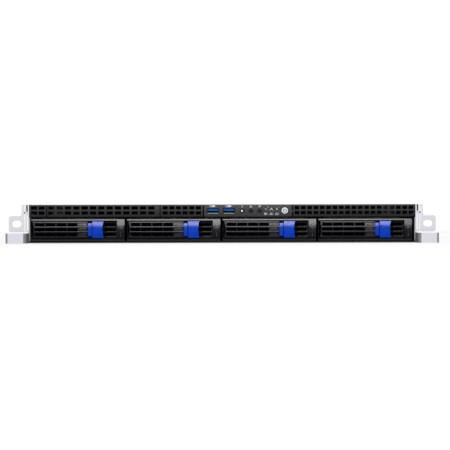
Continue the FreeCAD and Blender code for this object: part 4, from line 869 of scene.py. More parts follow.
def make_finishes(c):
    """The finishes by name, from the colours a user would change."""
    FINISHES.update({
        # Highlight bands: painted highlights along top and lower edges of panels, trays and
        # levers.
        "panel": moulded("Charcoal panel", c.panel, swell=panel_swell, shade=panel_seams,
                         highlight_bands=[(20.9, 21.5, srgb(104, 103, 110))]),
        "vents": moulded("Vent panel plastic", c.vents, swell=panel_swell, shade=vent_seams,
                         highlight_bands=[(20.9, 21.6, srgb(66, 66, 70))]),
        "tray": moulded("Tray plastic", c.tray, rough=0.22, specular=0.45, shade=tray_hollows,
                        highlight_bands=[(4.3, 5.0, srgb(92, 92, 100)),
                              (-17.4, -18.4, srgb(56, 56, 62))]),
        "lever": moulded("Lever plastic", c.lever, rough=0.26, specular=0.3,
                         shade=lever_hollows, swell=lever_bars,
                         highlight_bands=[(-14.6, -15.4, srgb(46, 46, 52))]),
        # Painted highlight: the grip pads are the levers' plastic, made lighter.
        "grip": moulded("Grip plastic with painted highlight", srgb(36, 36, 40), rough=0.22, specular=0.5),
        "latch": glossy("Latch blue", c.latch, rough=0.17, coat=0.0, specular=0.4,
                        shade=latch_step),
        "silver": silver_coat("Silver coat", c.silver, ear_tones, ear_beads),
        # Painted shade on the pan's front edge below the trays.
        "zinc": rolled("Zinc sheet", c.zinc, shade=lambda x, y, z: (y < -2.0) * (z < -19.0) * 0.7),
        # Painted shade on the front cover's underside and brackets, seen through the vents.
        "zinc_lid": rolled("Zinc sheet of the lid", c.zinc,
                           shade=lambda x, y, z: (z < 20.3) * (y < 6.0)),
        "zinc_across": rolled("Zinc sheet across", c.zinc, along=0),
        # Painted shade on the front edges of the shelf and bay dividers, between the trays.
        "shelf": coated("Black powder coat", srgb(16, 16, 18), rough=0.55,
                        shade=lambda x, y, z: y < 1.5),
        "black": moulded("Black plastic", srgb(36, 36, 39)),
        "socket": moulded("Connector plastic", srgb(26, 26, 28), rough=0.5),
        "fan": moulded("Fan plastic", srgb(40, 40, 43), rough=0.38),
        "duct": moulded("Duct film", srgb(44, 44, 46), rough=0.5, grain=0.05),
        "board": solder_mask("Green board", c.board),
        # Painted shade on the drives' front ends, seen through the trays' slots.
        "drive": cast("Drive casting", (0.5, 0.505, 0.515), shade=lambda x, y, z: y < 9.5),
        "sink": cast("Heat sink", (0.68, 0.68, 0.69), rough=0.3),
        "blank": perforated("Vented blank", (0.3, 0.305, 0.315), blank_vents),
        "supply": rolled("Supply case", (0.4, 0.405, 0.415), rough=0.52, shade=supply_end),
        "supply_face": coated("Supply face", srgb(44, 44, 47)),
        "supply_latch": glossy("Supply latch", c.supply_latch, rough=0.3),
        "wire": bright_wire("Bright wire", (0.66, 0.665, 0.68)),
        "port": bright_wire("Port shield", (0.56, 0.565, 0.58), rough=0.28, shade=port_cavities),
        "usb": bright_wire("Port shell", (0.06, 0.065, 0.08), rough=0.35),
        "blade": glossy("Port blade", c.port, rough=0.45, coat=0.0, specular=0.1),
        "button": moulded("Button plastic", srgb(20, 20, 23), rough=0.25),
        "power": glossy("Power button", srgb(238, 240, 246), rough=0.3, coat=0.1,
                        shade=power_rim),
        "screw": bright_wire("Screw zinc", (0.6, 0.61, 0.62), rough=0.26),
        "ink": printed("White ink", c.ink),
        "dark_ink": printed("Black ink", srgb(30, 31, 36)),
        "dim_ink": printed("Grey sign ink", srgb(120, 122, 130)),
        # Painted highlight: the web's beads are the trays' plastic, made lighter.
        "bead": moulded("Bead plastic with painted highlight", srgb(44, 44, 48), rough=0.3, specular=0.5),
        "latch_mark": glossy("Latch mark", srgb(0, 30, 120), rough=0.3),
        "sign_grey": printed("Grey ink", srgb(46, 48, 58)),
        "lip": bright_wire("Turned lip", (0.2, 0.195, 0.18), rough=0.35),
        "gold": gilded("Gold contacts"),
        "lens": glossy("Clear light pipe", (0.05, 0.052, 0.055), rough=0.2),
        "green_light": lamp_lens("Green light", (0.01, 0.22, 0.06), 0.35),
        "dim_light": lamp_lens("Dim green light", (0.01, 0.09, 0.03), 0.25),
        "amber_light": lamp_lens("Amber light", (0.24, 0.22, 0.06), 0.5),
        "white_light": lamp_lens("White light", (0.4, 0.42, 0.44), 0.4),
        "spot_light": lamp_lens("Lit button", (0.8, 0.82, 0.95), 0.5),
        "blue_light": lamp_lens("Dim blue light", (0.015, 0.03, 0.12), 0.35),
    })


def numbered(stem, numbers=TRAYS):
    """Names of a row of like nodes."""
    return [f"{stem}_{n}" for n in numbers]


NODE_FINISHES = {
    "zinc": ["chassis_pan", "top_cover", "case_screws"],
    "zinc_lid": ["front_cover"],
    "zinc_across": ["rear_panel"],
    "blank": ["expansion_blank"],
    "shelf": ["cage_shelf", "bay_dividers"],
    "vents": VENT_PANELS,
    "panel": ["control_panel"],
    "silver": ["left_ear", "right_ear"],
    "latch": ["cover_release"] + numbered("latch"),
    "usb": ["usb_shells"],
    "blade": ["usb_tongues"],
    "board": ["control_board", "backplane", "main_board", "memory_modules"],
    "lens": ["status_lights"],
    "socket": ["drive_sockets"],
    "fan": ["fan_frames"] + numbered("fan_rotor"),
    "sink": ["heatsinks"],
    "duct": ["air_duct"],
    "port": ["io_ports"],
    "button": ["id_button", "nmi_button", "reset_button"],
    "power": ["power_button"],
    "tray": numbered("tray"),
    "lever": numbered("lever"),
    "drive": numbered("drive"),
    "supply": numbered("psu_case", SUPPLIES),
    "supply_face": numbered("psu_face", SUPPLIES),
    "wire": numbered("psu_handle", SUPPLIES),
    "supply_latch": numbered("psu_latch", SUPPLIES),
}


class RACKSERVER_OT_rolled_edges(bpy.types.Operator):
    """Fronts, trays, levers, ears and covers with their edges rolled over"""
    bl_idname = "rackserver.rolled_edges"
    bl_label = "Rolled edges"

    def execute(self, context):
        sizes = context.scene.rack_server_sizes
        finish_of = {name: finish for finish, names in NODE_FINISHES.items() for name in names}
        for width, slot, nodes in (
                (sizes.panel_edge, "black_plastic", VENT_PANELS[:3]),
                (sizes.panel_edge, "panel_plastic", ["control_panel"]),
                (sizes.panel_edge, "black_plastic", VENT_PANELS[3:]),
                (sizes.tray_edge, "tray_black", numbered("tray")),
                (sizes.tray_edge, "latch_blue", numbered("latch")),
                (sizes.lever_edge, "lever_black", numbered("lever")),
                (sizes.sheet_edge, "silver_paint", ["left_ear", "right_ear"]),
                (sizes.sheet_edge, "zinc_steel", ["front_cover", "top_cover", "expansion_blank",
                                                  "rear_panel"]),
                (sizes.sheet_edge, "black_steel", numbered("psu_face", SUPPLIES))):
            for node in nodes:
                softened(node, finish_of[node], width)
        return {"FINISHED"}


# ---- signs and lights on the control panel --------------------------------------------------
LENS_RADIUS = 0.6
LENS_INSET = 0.7     # of the outer status lights' middles from the edge of their light pipe
CONTACT_PITCH = 2.3  # of the four contacts of a port
PORT_HALF = 6.6      # half the width of a front port


def disc(cx, cz, radius, count=20):
    """Closed circle in X and Z; its first point isn't repeated."""
    return arc(cx, cz, radius, 0, 360 - 360 / count, count)


def leaf(turn):
    """Blade of the fan sign: a skewed oval, turned by an angle in degrees."""
    oval = disc(0, 0, 1, 14)
    along = 0.8 + 0.5 * oval[:, 0]
    across = 0.34 * oval[:, 1] + 0.25 * (along - 0.3)
    a = math.radians(turn)
    return np.column_stack([along * math.cos(a) - across * math.sin(a),
                            along * math.sin(a) + across * math.cos(a)])


# Strokes of each sign, in millimetres about its middle: a path, a line width, and whether the
# line closes. A path of no width is a filled outline.
OVAL = disc(0, 0, 1) * (1.15, 0.42)
SIGNS = {
    "plug": [(rounded(-3.4, -0.6, -0.75, 0.75, 0.2), 0.36, True),
             (rounded(-0.35, 1.7, -0.95, 0.95, 0.35), 0, True),
             ([(1.6, 0), (2.4, 0), (3.6, 0)], 0.45, False)],
    "letter_i": [(disc(0, 0.95, 0.3), 0, True),
                 (rounded(-0.26, 0.26, -1.15, 0.4, 0.1), 0, True),
                 (rounded(-0.65, 0.65, -1.2, -0.85, 0.1), 0, True)],
    "inward_arrow": [([(-1.2, 0.2), (-1.2, -1.1), (1.2, -1.1), (1.2, 0.2)], 0.34, False),
                     ([(-0.75, 0.1), (0, -0.65), (0.75, 0.1)], 0, True),
                     ([(0, 1.2), (0, 0.6), (0, 0)], 0.4, False)],
    "turn_arrow": [(arc(0, 0, 0.95, 70, 350)[::-1], 0.36, False),
                   ([(0.35, 1.0), (1.55, 1.15), (1.05, 0.05)], 0, True)],
    "disk": [(OVAL + (0, 0.65), 0, True),
             ([(-1.15, 0.6), *(OVAL[10:] + (0, -0.7)), (1.15, -0.7), (1.15, 0.6)], 0.28, False)],
    "network": [*((rounded(x - 0.42, x + 0.42, z - 0.36, z + 0.36, 0.1), 0, True)
                  for x, z in ((0, 0.75), (-1.0, -0.75), (1.0, -0.75))),
                ([(0, 0.5), (0, 0.05)], 0.24, False),
                ([(-1.0, -0.45), (-1.0, 0), (1.0, 0), (1.0, -0.45)], 0.24, False)],
    "fan": [(disc(0, 0, 0.3), 0, True), *((leaf(turn), 0, True) for turn in (90, 210, 330))],
    "pulse": [([(-1.3, 0), (-0.6, 0), (-0.2, 0.9), (0.25, -0.8), (0.6, 0), (1.3, 0)], 0.3, False)],
    "1": [([(-0.35, 0.5), (0.05, 0.85), (0.05, -0.85)], 0.28, False)],
    "2": [([*arc(0, 0.4, 0.45, 170, -40, 9), (-0.45, -0.82), (0.5, -0.82)], 0.28, False)],
    "power": [(arc(0, -0.2, 1.8, 125, 415, 33), 0.8, False),
              ([(0, -0.1), (0, 1.0), (0, 2.2)], 0.8, False)],
    "screen": [(rounded(-1.7, 1.7, -0.9, 1.2, 0.2), 0.3, True),
               ([(-1.0, -1.4), (0, -1.4), (1.0, -1.4)], 0.3, False)],
}


def sign(name, cx, cz, front, back):
    """Parts of one sign about a middle, between two planes."""
    parts = []
    for path, width, closed in SIGNS[name]:
        path = np.add(path, (cx, cz))
        parts.append(ribbon(path, width, front, back, closed) if width
                     else outline_slab(path, front, back))
    return parts


def light_columns():
    """X of the three columns of status lights."""
    low, high = box_mm("status_lights")
    return np.linspace(low[0] + LENS_INSET, high[0] - LENS_INSET, 3)


def ink_planes(face, depth):
    """Front and back of ink on a face: so far proud of it, and just inside it."""
    return face - depth, face + 0.05


def port_middles():
    """X of the middles of the two front ports."""
    low, high = box_mm("usb_shells")
    return low[0] + PORT_HALF, high[0] - PORT_HALF


class RACKSERVER_OT_signs(bpy.types.Operator):
    """Printed signs of the control panel and of the power button"""
    bl_idname = "rackserver.signs"
    bl_label = "Signs"

    def execute(self, context):
        depth = context.scene.rack_server_sizes.ink_depth
        low, high = box_mm("control_panel")
        places = [("plug", x, high[2] - 1.95) for x in port_middles()]
        places += [(name, middle_mm(f"{button}_button")[0], high[2] - 2.1) for name, button in
                   (("letter_i", "id"), ("inward_arrow", "nmi"), ("turn_arrow", "reset"))]
        columns = light_columns()
        upper = middle_mm("status_lights")[2] + 0.3
        lower = box_mm("status_lights")[0][2] - 2.0
        places += [(name, columns[column] + shift, row) for name, column, shift, row in (
            ("pulse", 0, -2.2, upper), ("network", 1, -2.3, upper), ("fan", 2, -2.3, upper),
            ("disk", 0, -2.9, lower), ("1", 0, -0.9, lower), ("network", 1, -2.7, lower),
            ("1", 1, -0.6, lower), ("network", 2, -2.8, lower), ("2", 2, -0.6, lower))]
        parts = [part for place in places
                 for part in sign(*place, *ink_planes(low[1], depth))]
        build("panel_signs", parts, "ink", smooth=60)
        x, _, z = middle_mm("power_button")
        face = box_mm("power_button")[0][1]
        build("power_sign", sign("power", x, z, face - depth, face + 0.2), "sign_grey",
              "power_button", 60)
        return {"FINISHED"}


def dome(cx, cz, radius, y_base, proud):
    """Part of a sphere on a short wall, facing -Y: its rise follows the root of 1 - r^2."""
    r = np.sin(np.linspace(0.12, 1, 6) * math.pi / 2)
    profile = np.column_stack([radius * r, -proud * np.sqrt(np.maximum(0, 1 - r * r))])
    return turned(np.vstack([profile, [[radius, 0.4]]]), (cx, y_base, cz), 20)


class RACKSERVER_OT_panel_lights(bpy.types.Operator):
    """Status lights, the first button's lit spot, rings of painted shade round the buttons and
    port fittings
    """
    bl_idname = "rackserver.panel_lights"
    bl_label = "Status lights"

    def execute(self, context):
        low, high = box_mm("status_lights")
        columns = light_columns()
        rows = (high[2] - LENS_INSET, low[2] + LENS_INSET)
        lit = {"white_light": [(0, 0)], "green_light": [(1, 0), (1, 1)],
               "amber_light": [(2, 0)], "dim_light": [(0, 1), (2, 1)]}
        for finish, places in lit.items():
            lenses = [dome(columns[x], rows[z], LENS_RADIUS, low[1], 0.28) for x, z in places]
            build(f"panel_{finish}", lenses, finish)
        x, _, z = middle_mm("id_button")
        spot = dome(x - 0.2, z - 0.35, 1.15, box_mm("id_button")[0][1] + 0.12, 0.3)
        build("id_button_light", [spot], "spot_light", "id_button")
        self.button_shade_rings()
        self.port_fittings()
        return {"FINISHED"}

    def button_shade_rings(self):
        """Painted shade round the small buttons: a dark raised ring whose section is half an
        ellipse.
        """
        turn = np.linspace(0, math.pi, 7)
        profile = np.column_stack([2.42 - 0.36 * np.cos(turn), -0.16 * np.sin(turn)])
        face = box_mm("control_panel")[0][1]
        rings = []
        for name in ("id_button", "nmi_button", "reset_button"):
            x, _, z = middle_mm(name)
            rings.append(grid(swept(profile, (x, face, z), 32), closed=True))
        build("button_shade_rings", rings, "socket", smooth=50)

    def port_fittings(self):
        """Gold springs under each blade and a turned-out lip below each port."""
        low = box_mm("usb_shells")[0]
        blade_front = box_mm("usb_tongues")[0][1]
        blade_z = box_mm("usb_tongues")[1][2] - 1.9
        springs = []
        lips = []
        turn = np.radians(np.linspace(0, 75, 6))
        lip_radius = 0.75
        for cx in port_middles():
            for n in range(4):
                x = cx + (n - 1.5) * CONTACT_PITCH
                y = np.array([0.6, 1.4, 3.0, 6.0]) + blade_front
                z = blade_z + np.array([-0.1, -0.45, -0.4, -0.1])
                springs.append(capped(np.stack([
                    xyz(x + side, y, z + lift)
                    for side, lift in ((-0.45, 0), (0.45, 0), (0.45, 0.15), (-0.45, 0.15))], 1)))
            y = low[1] + 0.5 - lip_radius * np.sin(turn)
            z = low[2] + 0.3 - lip_radius * (1 - np.cos(turn))
            x = np.array([-5.7, 5.7, 5.7, -5.7]) + cx
            lips.append(capped(np.stack([
                xyz(x, a + np.array([0, 0, 0.05, 0.05]), b + np.array([0.2, 0.2, -0.2, -0.2]))
                for a, b in zip(y, z)])))
        build("front_port_springs", springs, "gold")
        build("front_port_lips", lips, "lip")


# ---- fine pieces of the trays ---------------------------------------------------------------
def bowed_y(z, lift=0.0):
    """Front of the bowed tray faces at a height: a circle about the latches' middle."""
    rise = np.asarray(z, float) - middle_mm("latch_1")[2]
    return box_mm("lever_1")[0][1] + BOW_RADIUS - np.sqrt(BOW_RADIUS ** 2 - rise ** 2) - lift


def draped(outline, lift, depth):
    """Slab whose front follows the bow of the tray faces: outline in X and Z."""
    middle = outline.mean(0)
    rings = []
    for scale, back in ((0.55, 0.0), (0.9, 0.0), (1.0, 0.04), (1.0, depth)):
        shape = middle + (outline - middle) * scale
        rings.append(at_depth(shape, bowed_y(shape[:, 1], lift) + back))
    return capped(np.stack(rings))


class RACKSERVER_OT_tray_fronts(bpy.types.Operator):
    """Lights, signs, grip pads, thumb dashes and web beads of the tray fronts"""
    bl_idname = "rackserver.tray_fronts"
    bl_label = "Tray fronts"

    def execute(self, context):
        sizes = context.scene.rack_server_sizes
        self.mid = middle_mm("latch_1")[2]
        for n in TRAYS:
            self.post(n, sizes.ink_depth)
            self.lever(n, sizes.rib_pitch)
            self.latch(n)
        return {"FINISHED"}

    def post(self, n, depth):
        """Two domed lenses sunk in the post, a drive sign, a bolt sign, and the web's beads."""
        mid, end = self.mid, box_mm(f"tray_{n}")[1][0]
        x = end - 4.2
        for z, finish, name in ((mid + 5.7, "white_light", "ready"),
                                (mid - 3.1, "blue_light", "activity")):
            lens = dome(x, z, LENS_RADIUS, float(bowed_y(z)) + 0.1, 0.3)
            build(f"tray_{name}_light_{n}", [lens], finish, f"tray_{n}")
        drum = mid + 2.4
        top, foot = [(arc(x, z, 1.0, *turn) * [1, 0.4] + [0, z * 0.6])
                     for z, turn in ((drum + 0.55, (0, 340, 18)), (drum - 0.7, (180, 360, 11)))]
        skirt = np.vstack([[x - 1.0, drum + 0.5], foot, [x + 1.0, drum + 0.5]])
        bolt = [(x + 0.45, mid - 5.2), (x - 0.4, mid - 6.2), (x + 0.35, mid - 6.5),
                (x - 0.45, mid - 7.7)]
        parts = []
        for line, closed in ((top, True), (skirt, False), (bolt, False)):
            front = float(bowed_y(line[0][1])) - depth - 0.05
            parts.append(ribbon(line, 0.26, front, front + 0.35, closed))
        build(f"tray_signs_{n}", parts, "dim_ink", f"tray_{n}", 60)
        web_front = -0.87
        start = box_mm(f"latch_{n}")[1][0] + 3.4
        run = np.linspace(0, 1, 16)
        lift = np.maximum(0, (run - 0.8) / 0.2) ** 2
        beads = [tube(xyz(start + (end - 8.6 - start) * run, web_front, z + 0.45 + lift), 0.42, 8)
                 for z in (mid + 2.75, mid - 2.75, mid - 8.2)]
        build(f"tray_web_beads_{n}", beads, "bead", f"tray_{n}", 50)

    def lever(self, n, rib_pitch):
        """Pads that nearly fill the three grip pockets, each with fine ribs along it."""
        low, high = box_mm(f"lever_{n}")
        start, end = low[0] + 53.1, high[0] - 1.6
        half = 1.6
        parts = []
        for row in range(3):
            middle = self.mid + ROW_PITCH * (1 - row)
            bulb = arc(end - half, middle, half, -90, 90, 12)
            outline = np.vstack([[start, middle - half], bulb, [start, middle + half]])
            parts.append(draped(outline, -0.27, 0.4))
            for z in middle + rib_pitch * np.arange(-1, 2):
                x = np.linspace(start + 0.5, end - 1.0, 6)
                parts.append(tube(xyz(x, bowed_y(z, -0.24), z), 0.17, 6))
        build(f"grip_pads_{n}", parts, "grip", f"lever_{n}", 50)

    def latch(self, n):
        """Two short raised dashes low on the pad, where the thumb pushes."""
        low, high = box_mm(f"latch_{n}")
        z = np.linspace(low[2] + 2.6, low[2] + 4.9, 5)
        dashes = [tube(xyz(high[0] - inset, bowed_y(z, 0.8), z), 0.24, 8) for inset in (4.4, 2.8)]
        build(f"latch_dashes_{n}", dashes, "latch_mark", f"latch_{n}", 50)


# ---- rear ports and supplies ----------------------------------------------------------------
# Where X, Y and Z of parts drawn to face -Y end up when they face another way.
TURNS = {"rear": [[-1, 0, 0], [0, -1, 0], [0, 0, 1]], "left": [[0, 1, 0], [-1, 0, 0], [0, 0, 1]],
         "right": [[0, -1, 0], [1, 0, 0], [0, 0, 1]], "up": [[1, 0, 0], [0, 0, 1], [0, -1, 0]]}


def turn_to(facing, parts):
    """Parts drawn to face -Y, turned about the origin to face another way."""
    matrix = np.array(TURNS[facing], float).T
    return [(points @ matrix, faces) for points, faces in parts]


def ports():
    """Box of each stated opening of the rear ports, in millimetres."""
    return {o["name"]: np.array(o["box_m"]) / MM for o in frame["record"]["physics"]["openings"]
            if o["name"].endswith("_port") or o["name"].startswith("network")}


class RACKSERVER_OT_rear_ports(bpy.types.Operator):
    """Contacts, pins, lights, hex posts and signs of the rear ports"""
    bl_idname = "rackserver.rear_ports"
    bl_label = "Rear ports"

    def execute(self, context):
        self.back = box_mm("io_ports")[1][1]
        boxes = ports()
        self.network([b for name, b in boxes.items() if "network" in name])
        for fit in (self.pins, self.blocks, self.hex_posts):
            fit(boxes["serial_port"], boxes["video_port"])
        self.usb(boxes)
        self.signs(boxes, context.scene.rack_server_sizes.ink_depth)
        return {"FINISHED"}

    def network(self, boxes):
        """Eight sprung wires that slope down from the jack's roof, and two lights over it."""
        wires = []
        lights = {"green_light": [], "amber_light": []}
        run = np.linspace(0, 1, 9)
        for low, high in boxes:
            middle = (low[0] + high[0]) / 2
            z = high[2] + 0.15 - 3.2 * np.sin(run * math.pi * 0.5) ** 1.5
            for n in range(8):
                x = middle + (n - 3.5) * 1.02
                wires.append(tube(xyz(x, self.back - 3.5 - 7.5 * run, z), 0.22, 6))
            for side, name in ((-1, "green_light"), (1, "amber_light")):
                x = -(middle + side * 4.6)
                lens = rounded(x - 1.3, x + 1.3, high[2] + 1.3, high[2] + 2.5, 0.3)
                lights[name] += [outline_slab(lens, -self.back - 0.15, -self.back + 0.3, 0.12)]
        build("network_contacts", wires, "gold", smooth=50)
        for name, lenses in lights.items():
            build(f"network_{name}", turn_to("rear", lenses), name, smooth=50)

    def pins(self, serial, video):
        """Two rows of pins in the serial port and three rows of eyes in the video port."""
        pin = [[0.5, -4.2], [0.5, 0.0], [0.36, 0.4], [0.12, 0.55]]
        eye = [[0.62, -1.0], [0.62, 0.02], [0.3, 0.05], [0.3, -0.9]]
        pins = []
        for port, rows, tall, profile, sunk, sides in (
                (serial, (5, 4), 2.84, pin, 1.4, 10), (video, (5, 5, 5), 2.0, eye, 2.5, 12)):
            middle = (port[0] + port[1]) / 2
            for row, count in enumerate(rows):
                z = middle[2] + ((len(rows) - 1) / 2 - row) * tall
                stagger = row == 1 and len(rows) == 3
                for n in range(count):
                    pitch, shift = (2.76 * 0.83, 0.6) if stagger else (2.76, 0.0)
                    x = middle[0] + (n - (count - 1) / 2) * pitch + shift
                    pins.append(turned(profile, (x, self.back - sunk, z), sides))
        build("port_pins", pins, "gold")

    def blocks(self, serial, video):
        """Plastic blocks behind the pins, as D-shaped as the shells round them."""
        for (low, high), name, sunk, thick, finish, slot in (
                (serial, "serial_block", 4.9, 0.08, "socket", "socket_black"),
                (video, "video_block", 2.6, 2.2, "blade", "usb_blue")):
            outline = [(-low[0] - 0.3, high[2] + 0.1), (-high[0] + 0.3, high[2] + 0.1),
                       (-high[0] + 1.5, low[2] - 0.1), (-low[0] - 1.5, low[2] - 0.1)]
            front = sunk - self.back
            slab = outline_slab(outline, front, front + thick, 0.02)
            build(name, turn_to("rear", [slab]), finish)

    def hex_posts(self, *boxes):
        """Threaded posts on both sides of a port: six-sided, each with a hole in its end."""
        profile = [[1.7, -0.2], [1.7, 1.7], [1.5, 2.0], [0.95, 2.0], [0.9, 0.6]]
        posts = [turned(profile, (x, self.back, (low[2] + high[2]) / 2), 6)
                 for low, high in boxes for x in (low[0] - 2.8, high[0] + 2.8)]
        build("port_hex_posts", posts, "screw", smooth=30)

    def usb(self, boxes):
        """A blade and four contacts in each of the two stacked ports."""
        x = (boxes["network_port_1"][1][0] + boxes["network_port_2"][0][0]) / 2
        front = -self.back
        blades = []
        contacts = []
        for n in range(2):
            low = box_mm("io_ports")[0][2] + STACK_FOOT + n * STACK_PITCH
            outline = rounded(-x - 5.6, -x + 5.6, low + 1.1, low + 2.3, 0.2)
            blades.append(outline_slab(outline, front + 0.9, front + 10.0, 0.03))
            for k in range(4):
                cx = -x + (k - 1.5) * CONTACT_PITCH
                strip = rounded(cx - 0.5, cx + 0.5, low + 0.95, low + 1.12, 0.05)
                contacts.append(outline_slab(strip, front + 1.3, front + 8.0))
        build("rear_port_blades", turn_to("rear", blades), "blade")
        build("rear_port_contacts", turn_to("rear", contacts), "gold")

    def signs(self, boxes, depth):
        """Printed signs under the ports: network boxes with a number, a wave and a screen."""
        front, back = ink_planes(-box_mm("rear_panel")[1][1], depth)
        z = box_mm("io_ports")[0][2] - 3.4
        run = np.linspace(0, 1, 41)
        wave = np.clip(np.sin(run * 4 * math.pi) * 4, -1, 1) * 0.7
        parts = []
        for name, (low, high) in boxes.items():
            x = -(low[0] + high[0]) / 2
            if "network" in name:
                parts += sign("network", x, z, front, back)
                if name[-1] in SIGNS:
                    parts += sign(name[-1], x + 2.6, z, front, back)
            elif "serial" in name:
                path = np.column_stack([x + (run - 0.5) * 6, z + wave])
                parts.append(ribbon(path, 0.3, front, back))
            else:
                parts += sign("screen", x, z, front, back)
        build("rear_signs", turn_to("rear", parts), "dark_ink", smooth=60)


# ---- supplies, covers and fasteners ---------------------------------------------------------
GROOVE_X = 219.5  # inner side of the ears' upper groove
DRIVE_SIZE = 1.35  # from the middle of a screw's cross to the end of its arms


def cross_recess(cx, cz, front, back, size=DRIVE_SIZE):
    """Painted shade of a screw's cross recess: two crossed bars as one outline of twelve corners.
    """
    a, b = size, size * 0.24
    corners = np.array([(-b, a), (-b, b), (-a, b), (-a, -b), (-b, -b), (-b, -a), (b, -a), (b, -b),
                        (a, -b), (a, b), (b, b), (b, a)])
    return outline_slab(corners + (cx, cz), front, back, 0.06)


class RACKSERVER_OT_supplies(bpy.types.Operator):
    """Lights, numbers, grip ribs and inlet collars of the power supplies"""
    bl_idname = "rackserver.supplies"
    bl_label = "Power supplies"

    def execute(self, context):
        depth = context.scene.rack_server_sizes.ink_depth
        for n in SUPPLIES:
            low, high = box_mm(f"psu_case_{n}")
            face = -high[1] - 2.0
            x = -(middle_mm(f"psu_handle_{n}")[0] + 5.5)
            lens = [dome(x, high[2] - 4.6, 1.0, face, 0.35)]
            build(f"supply_light_{n}", turn_to("rear", lens), "green_light",
                  f"psu_{n}")
            planes = ink_planes(face, depth)
            parts = sign(str(n), x, low[2] + 5.0, *planes)
            parts += sign("plug", x, high[2] - 8.0, *planes)
            build(f"supply_signs_{n}", turn_to("rear", parts), "ink", f"psu_{n}",
                  60)
            self.collar(n, low)
            self.ribs(n)
        return {"FINISHED"}

    def collar(self, n, low):
        """A thin raised edge round the inlet: a rectangle with cut upper corners."""
        x0, x1 = low[0] + 4.0, low[0] + 31.0
        z0, z1 = low[2] + 3.5, low[2] + 23.0
        cut = 4
        path = np.array([(-x1, z0), (-x0, z0), (-x0, z1 - cut), (-x0 - cut, z1), (-x1 + cut, z1),
                         (-x1, z1 - cut)])
        fine = np.concatenate([a + (b - a) * np.linspace(0, 1, 6, False)[:, None]
                               for a, b in zip(path, np.roll(path, -1, 0))])
        front = -box_mm(f"psu_face_{n}")[1][1]
        bead = ribbon(fine, 0.7, front - 0.15, front + 0.4, closed=True)
        build(f"inlet_collar_{n}", turn_to("rear", [bead]), "black", f"psu_{n}")

    def ribs(self, n):
        """Upright thumb ribs on the supply latch: short round bars side by side."""
        low, high = box_mm(f"psu_latch_{n}")
        z = np.linspace(low[2] + 2.0, high[2] - 2.0, 5)
        bars = [tube(xyz(x, high[1] - 0.05, z), 0.28, 8)
                for x in np.arange(low[0] + 1.0, high[0] - 0.6, 1.1)]
        build(f"supply_latch_ribs_{n}", bars, "supply_latch",
              f"psu_latch_{n}", 50)


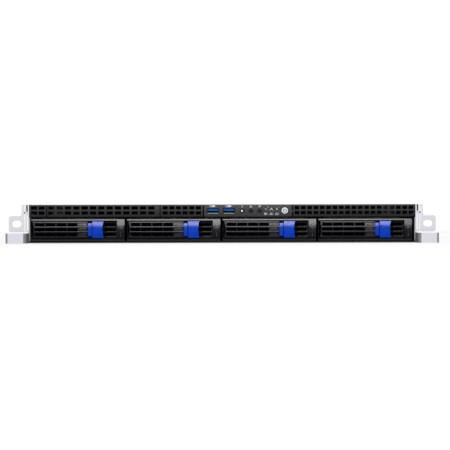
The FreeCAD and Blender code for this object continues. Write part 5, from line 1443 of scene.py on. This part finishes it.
class RACKSERVER_OT_case_details(bpy.types.Operator):
    """Screw drives as painted shade, marks on the cover, the blank's screws and strips of painted
    shade in the ears' grooves
    """
    bl_idname = "rackserver.case_details"
    bl_label = "Case details"

    def execute(self, context):
        self.screws()
        self.cover(context.scene.rack_server_sizes.ink_depth)
        self.blank()
        self.ear_grooves()
        return {"FINISHED"}

    def screws(self):
        """Cross drives of painted shade on the pan heads beside the ears and on the sunk cover
        screws.

        The heads are the clusters of the screws' points that lie furthest out and highest up.
        """
        mesh = NODES["case_screws"].data
        points = np.empty(len(mesh.vertices) * 3)
        mesh.vertices.foreach_get("co", points)
        points = points.reshape(-1, 3) / MM
        outer = abs(points[:, 0]).max()
        top = points[:, 2].max()
        layer = 0.4
        parts = []
        for side, name in ((-1, "left"), (1, "right")):
            spots = points[points[:, 0] * side > outer - layer]
            parts += turn_to(name, [
                cross_recess(y * side, z, -outer - 0.03, -outer + 0.3)
                for y, z in self.middles(spots[:, 1:])])
        parts += turn_to("up", [
            cross_recess(x, y, -top - 0.006, -top + 0.3)
            for x, y in self.middles(points[points[:, 2] > top - layer][:, :2])])
        build("screw_drives", parts, "socket")

    def middles(self, spots):
        """Middle of each cluster of points: all points within 8 mm of its first one."""
        left = np.asarray(spots)
        found = []
        while len(left):
            near = np.hypot(*(left - left[0]).T) < 8.0
            found.append((left[near].min(0) + left[near].max(0)) / 2)
            left = left[~near]
        return found

    def cover(self, depth):
        """An arrow head on the release pad and slide arrows on both sides of it."""
        y = middle_mm("cover_release")[1]
        top = -box_mm("top_cover")[1][2]
        planes = top - depth * 0.3, top + 0.1
        arrow = ribbon([(-5.0, y - 3.6), (0.0, y - 6.4), (5.0, y - 3.6)], 1.1, *planes)
        build("release_arrow", turn_to("up", [arrow]), "ink", "cover_release", 60)
        parts = []
        for x in (-30.0, 30.0):
            parts.append(ribbon([(x, y - 7.0), (x, y), (x, y + 6.5)], 1.3, *planes))
            parts.append(outline_slab([(x + 3.4, y + 5.0), (x, y + 11.0), (x - 3.4, y + 5.0)],
                                      *planes))
        build("slide_arrows", turn_to("up", parts), "dark_ink", "top_cover", 60)

    def blank(self):
        """Two screws with washers on the expansion blank."""
        low, high = box_mm("expansion_blank")
        _, plate, z = middle_mm("expansion_blank")
        places = (low[0] + 6.0, high[0] - 6.0)
        profile = [[3.6, 0.0], [3.6, 0.35], [2.9, 0.45], [2.75, 1.2], [2.2, 1.75], [1.0, 1.95]]
        heads = [turned(profile, (x, plate, z), 28) for x in places]
        # The drives are dark crosses of painted shade standing for the recesses.
        drives = [cross_recess(-x, z, -plate - 2.02, -plate - 1.7, 1.3) for x in places]
        build("blank_screws", heads, "screw", smooth=35)
        build("blank_screw_drives", turn_to("rear", drives), "socket")

    def ear_grooves(self):
        """Painted shade in the upper groove and the peep hole of each ear: dark strips behind its
        face.
        """
        top = box_mm("left_ear")[1][2]
        strips = []
        for side in (-1, 1):
            ends = sorted((side * (GROOVE_X - 0.1), side * (GROOVE_X + 2.1)))
            strips.append(outline_slab(rounded(*ends, top - 7.5, top - 0.1, 0.1), -1.1, -0.2))
            plug = disc(side * (GROOVE_X + 3.7), top - 9.1, 0.95, 24)
            strips.append(outline_slab(plug, -1.3, -0.2))
        build("ear_groove_shade_strips", strips, "duct")


STEPS = [
    RACKSERVER_OT_stage,
    RACKSERVER_OT_frame_finishes,
    RACKSERVER_OT_rolled_edges,
    RACKSERVER_OT_signs,
    RACKSERVER_OT_panel_lights,
    RACKSERVER_OT_tray_fronts,
    RACKSERVER_OT_rear_ports,
    RACKSERVER_OT_supplies,
    RACKSERVER_OT_case_details,
]


class RACKSERVER_PT_panel(bpy.types.Panel):
    """Sidebar list of the steps that dress the rack server"""
    bl_idname = "RACKSERVER_PT_panel"
    bl_label = "Rack server"
    bl_space_type = "VIEW_3D"
    bl_region_type = "UI"
    bl_category = "Rack server"

    def draw(self, context):
        layout = self.layout
        for group in ("studio", "colours", "sizes"):
            settings = getattr(context.scene, f"rack_server_{group}")
            column = layout.column(heading=group.capitalize())
            for name in type(settings).__annotations__:
                column.prop(settings, name)
        for step in STEPS:
            layout.operator(step.bl_idname)


GROUPS = {
    "rack_server_colours": RackServerColours,
    "rack_server_sizes": RackServerSizes,
    "rack_server_studio": RackServerStudio,
}
CLASSES = [*GROUPS.values(), *STEPS, RACKSERVER_PT_panel]


def register():
    for kind in CLASSES:
        bpy.utils.register_class(kind)
    for name, group in GROUPS.items():
        setattr(bpy.types.Scene, name, bpy.props.PointerProperty(type=group))


def unregister():
    for name in GROUPS:
        delattr(bpy.types.Scene, name)
    for kind in reversed(CLASSES):
        bpy.utils.unregister_class(kind)


def main():
    """Dresses the frame step by step."""
    register()
    make_finishes(bpy.context.scene.rack_server_colours)
    for step in STEPS:
        group, name = step.bl_idname.split(".")
        getattr(getattr(bpy.ops, group), name)()
    bpy.context.view_layer.update()


if __name__ == "__main__":
    main()
